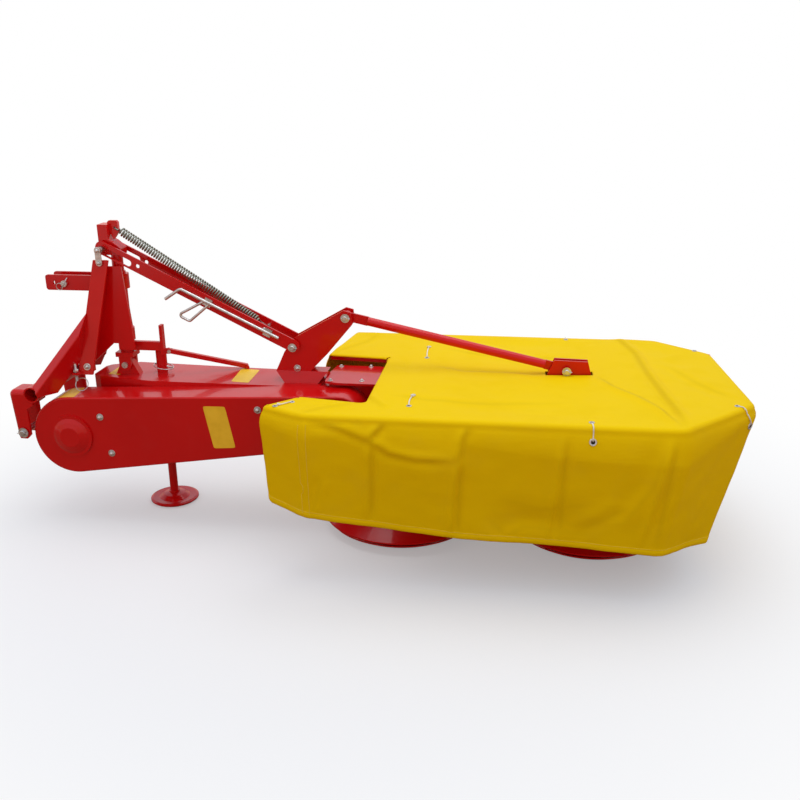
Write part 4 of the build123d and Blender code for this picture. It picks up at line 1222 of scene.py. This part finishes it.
shape = bmesh.new()
wire(shape, ring_points((-945, 74, 668), 44, Matrix.Rotation(radians(12), 3, "Y")), 2.2)
wire(shape, [(-988, 80, 677), (-903, 80, 659)], 4.2)
clip = finished("leg_clip", shape, ZINC)
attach(clip, "boom")
print("clips made")

# %% [markdown]
# ## Floor and light
# A mower stands in a yard: a bright sky above, and dull ground that sends little light back up. That
# is why its top faces look pale and its upright faces deep. A white floor would brighten them from
# below, so the ground here is dull brown to everything but the eye. The eye sees a pale floor with the
# machine's soft shadow, fading to the same white as the world behind it, and far off a shiny part
# mirrors that white too.

# %% Build the floor
SHADOW_FADES = (1.2, 2.8)        # metres from the middle: the floor turns white between them
MIRROR_WHITE = (4.5, 8.0)        # and is mirrored white between these
GROUND, PALE = (0.30, 0.22, 0.16, 1), (0.88, 0.88, 0.87, 1)
HALF = 9                         # half the floor's width
SQUARE = ((-1, -1), (1, -1), (1, 1), (-1, 1))


def pale_floor():
    floor = Finish("pale_floor")
    flat = floor.node("ShaderNodeVectorMath", {"operation": "MULTIPLY"},
                      {0: floor.place, 1: (1, 1, 0)})
    away = floor.node("ShaderNodeVectorMath", {"operation": "LENGTH"}, {0: flat}, "Value")
    seen = floor.node("ShaderNodeLightPath", out="Is Camera Ray")
    mirrored = floor.node("ShaderNodeLightPath", out="Is Glossy Ray")
    tone = floor.mix(seen, GROUND, PALE)
    matt = floor.node("ShaderNodeBsdfDiffuse", None, {"Color": tone})
    white = floor.node("ShaderNodeEmission", None, {"Color": (1, 1, 1, 1), "Strength": 1.0})
    far = seen * (0.30 + 0.70 * away.step(*SHADOW_FADES)) + mirrored * away.step(*MIRROR_WHITE)
    both = floor.node("ShaderNodeMixShader", None, {0: far, 1: matt, 2: white})
    floor.node("ShaderNodeOutputMaterial", None, {"Surface": both})
    return floor.made


mesh = bpy.data.meshes.new("floor")
mesh.from_pydata([(HALF * x, HALF * y, 0) for x, y in SQUARE], [], [(0, 1, 2, 3)])
floor = bpy.data.objects.new("floor", mesh)
bpy.context.scene.collection.objects.link(floor)
floor.data.materials.append(pale_floor())
print("floor laid")

# %% [markdown]
# The sky is one soft panel overhead, for a gentle shadow, and a world that is cool high up and warm
# towards the ground. A sun lamp would cast a hard shadow, which an overcast sky doesn't. The eye sees
# the world as plain white.

# %% Hang the light
HORIZON, ZENITH = (1.20, 0.50, 0.25, 1), (0.72, 0.77, 0.86, 1)


def soft_panel(name, place, aim, size, watts):
    panel = bpy.data.objects.new(name, bpy.data.lights.new(name, "AREA"))
    panel.data.shape, panel.data.size, panel.data.energy = "SQUARE", size, watts
    bpy.context.scene.collection.objects.link(panel)
    look = (Vector(aim) - Vector(place)).to_track_quat("-Z", "Y")
    panel.matrix_world = Matrix.Translation(place) @ look.to_matrix().to_4x4()


def open_sky():
    sky = Finish("open_sky", bpy.data.worlds, "Generated")
    height = sky.node("ShaderNodeSeparateXYZ", None, {"Vector": sky.place}, "Z")
    tone = sky.mix(height.step(-0.20, 0.45), HORIZON, ZENITH)
    light = sky.node("ShaderNodeBackground", None, {"Color": tone, "Strength": 1.0})
    plain = sky.node("ShaderNodeBackground", None, {"Color": (1, 1, 1, 1), "Strength": 1.0})
    seen = sky.node("ShaderNodeLightPath", out="Is Camera Ray")
    both = sky.node("ShaderNodeMixShader", None, {0: seen, 1: light, 2: plain})
    sky.node("ShaderNodeOutputWorld", None, {"Surface": both})
    return sky.made


soft_panel("overhead", place=(0.3, 0.4, 4.4), aim=(0, 0, 0.4), size=3.4, watts=66)
bpy.context.scene.world = open_sky()
bpy.context.scene.view_settings.view_transform = "Standard"
print("light hung")
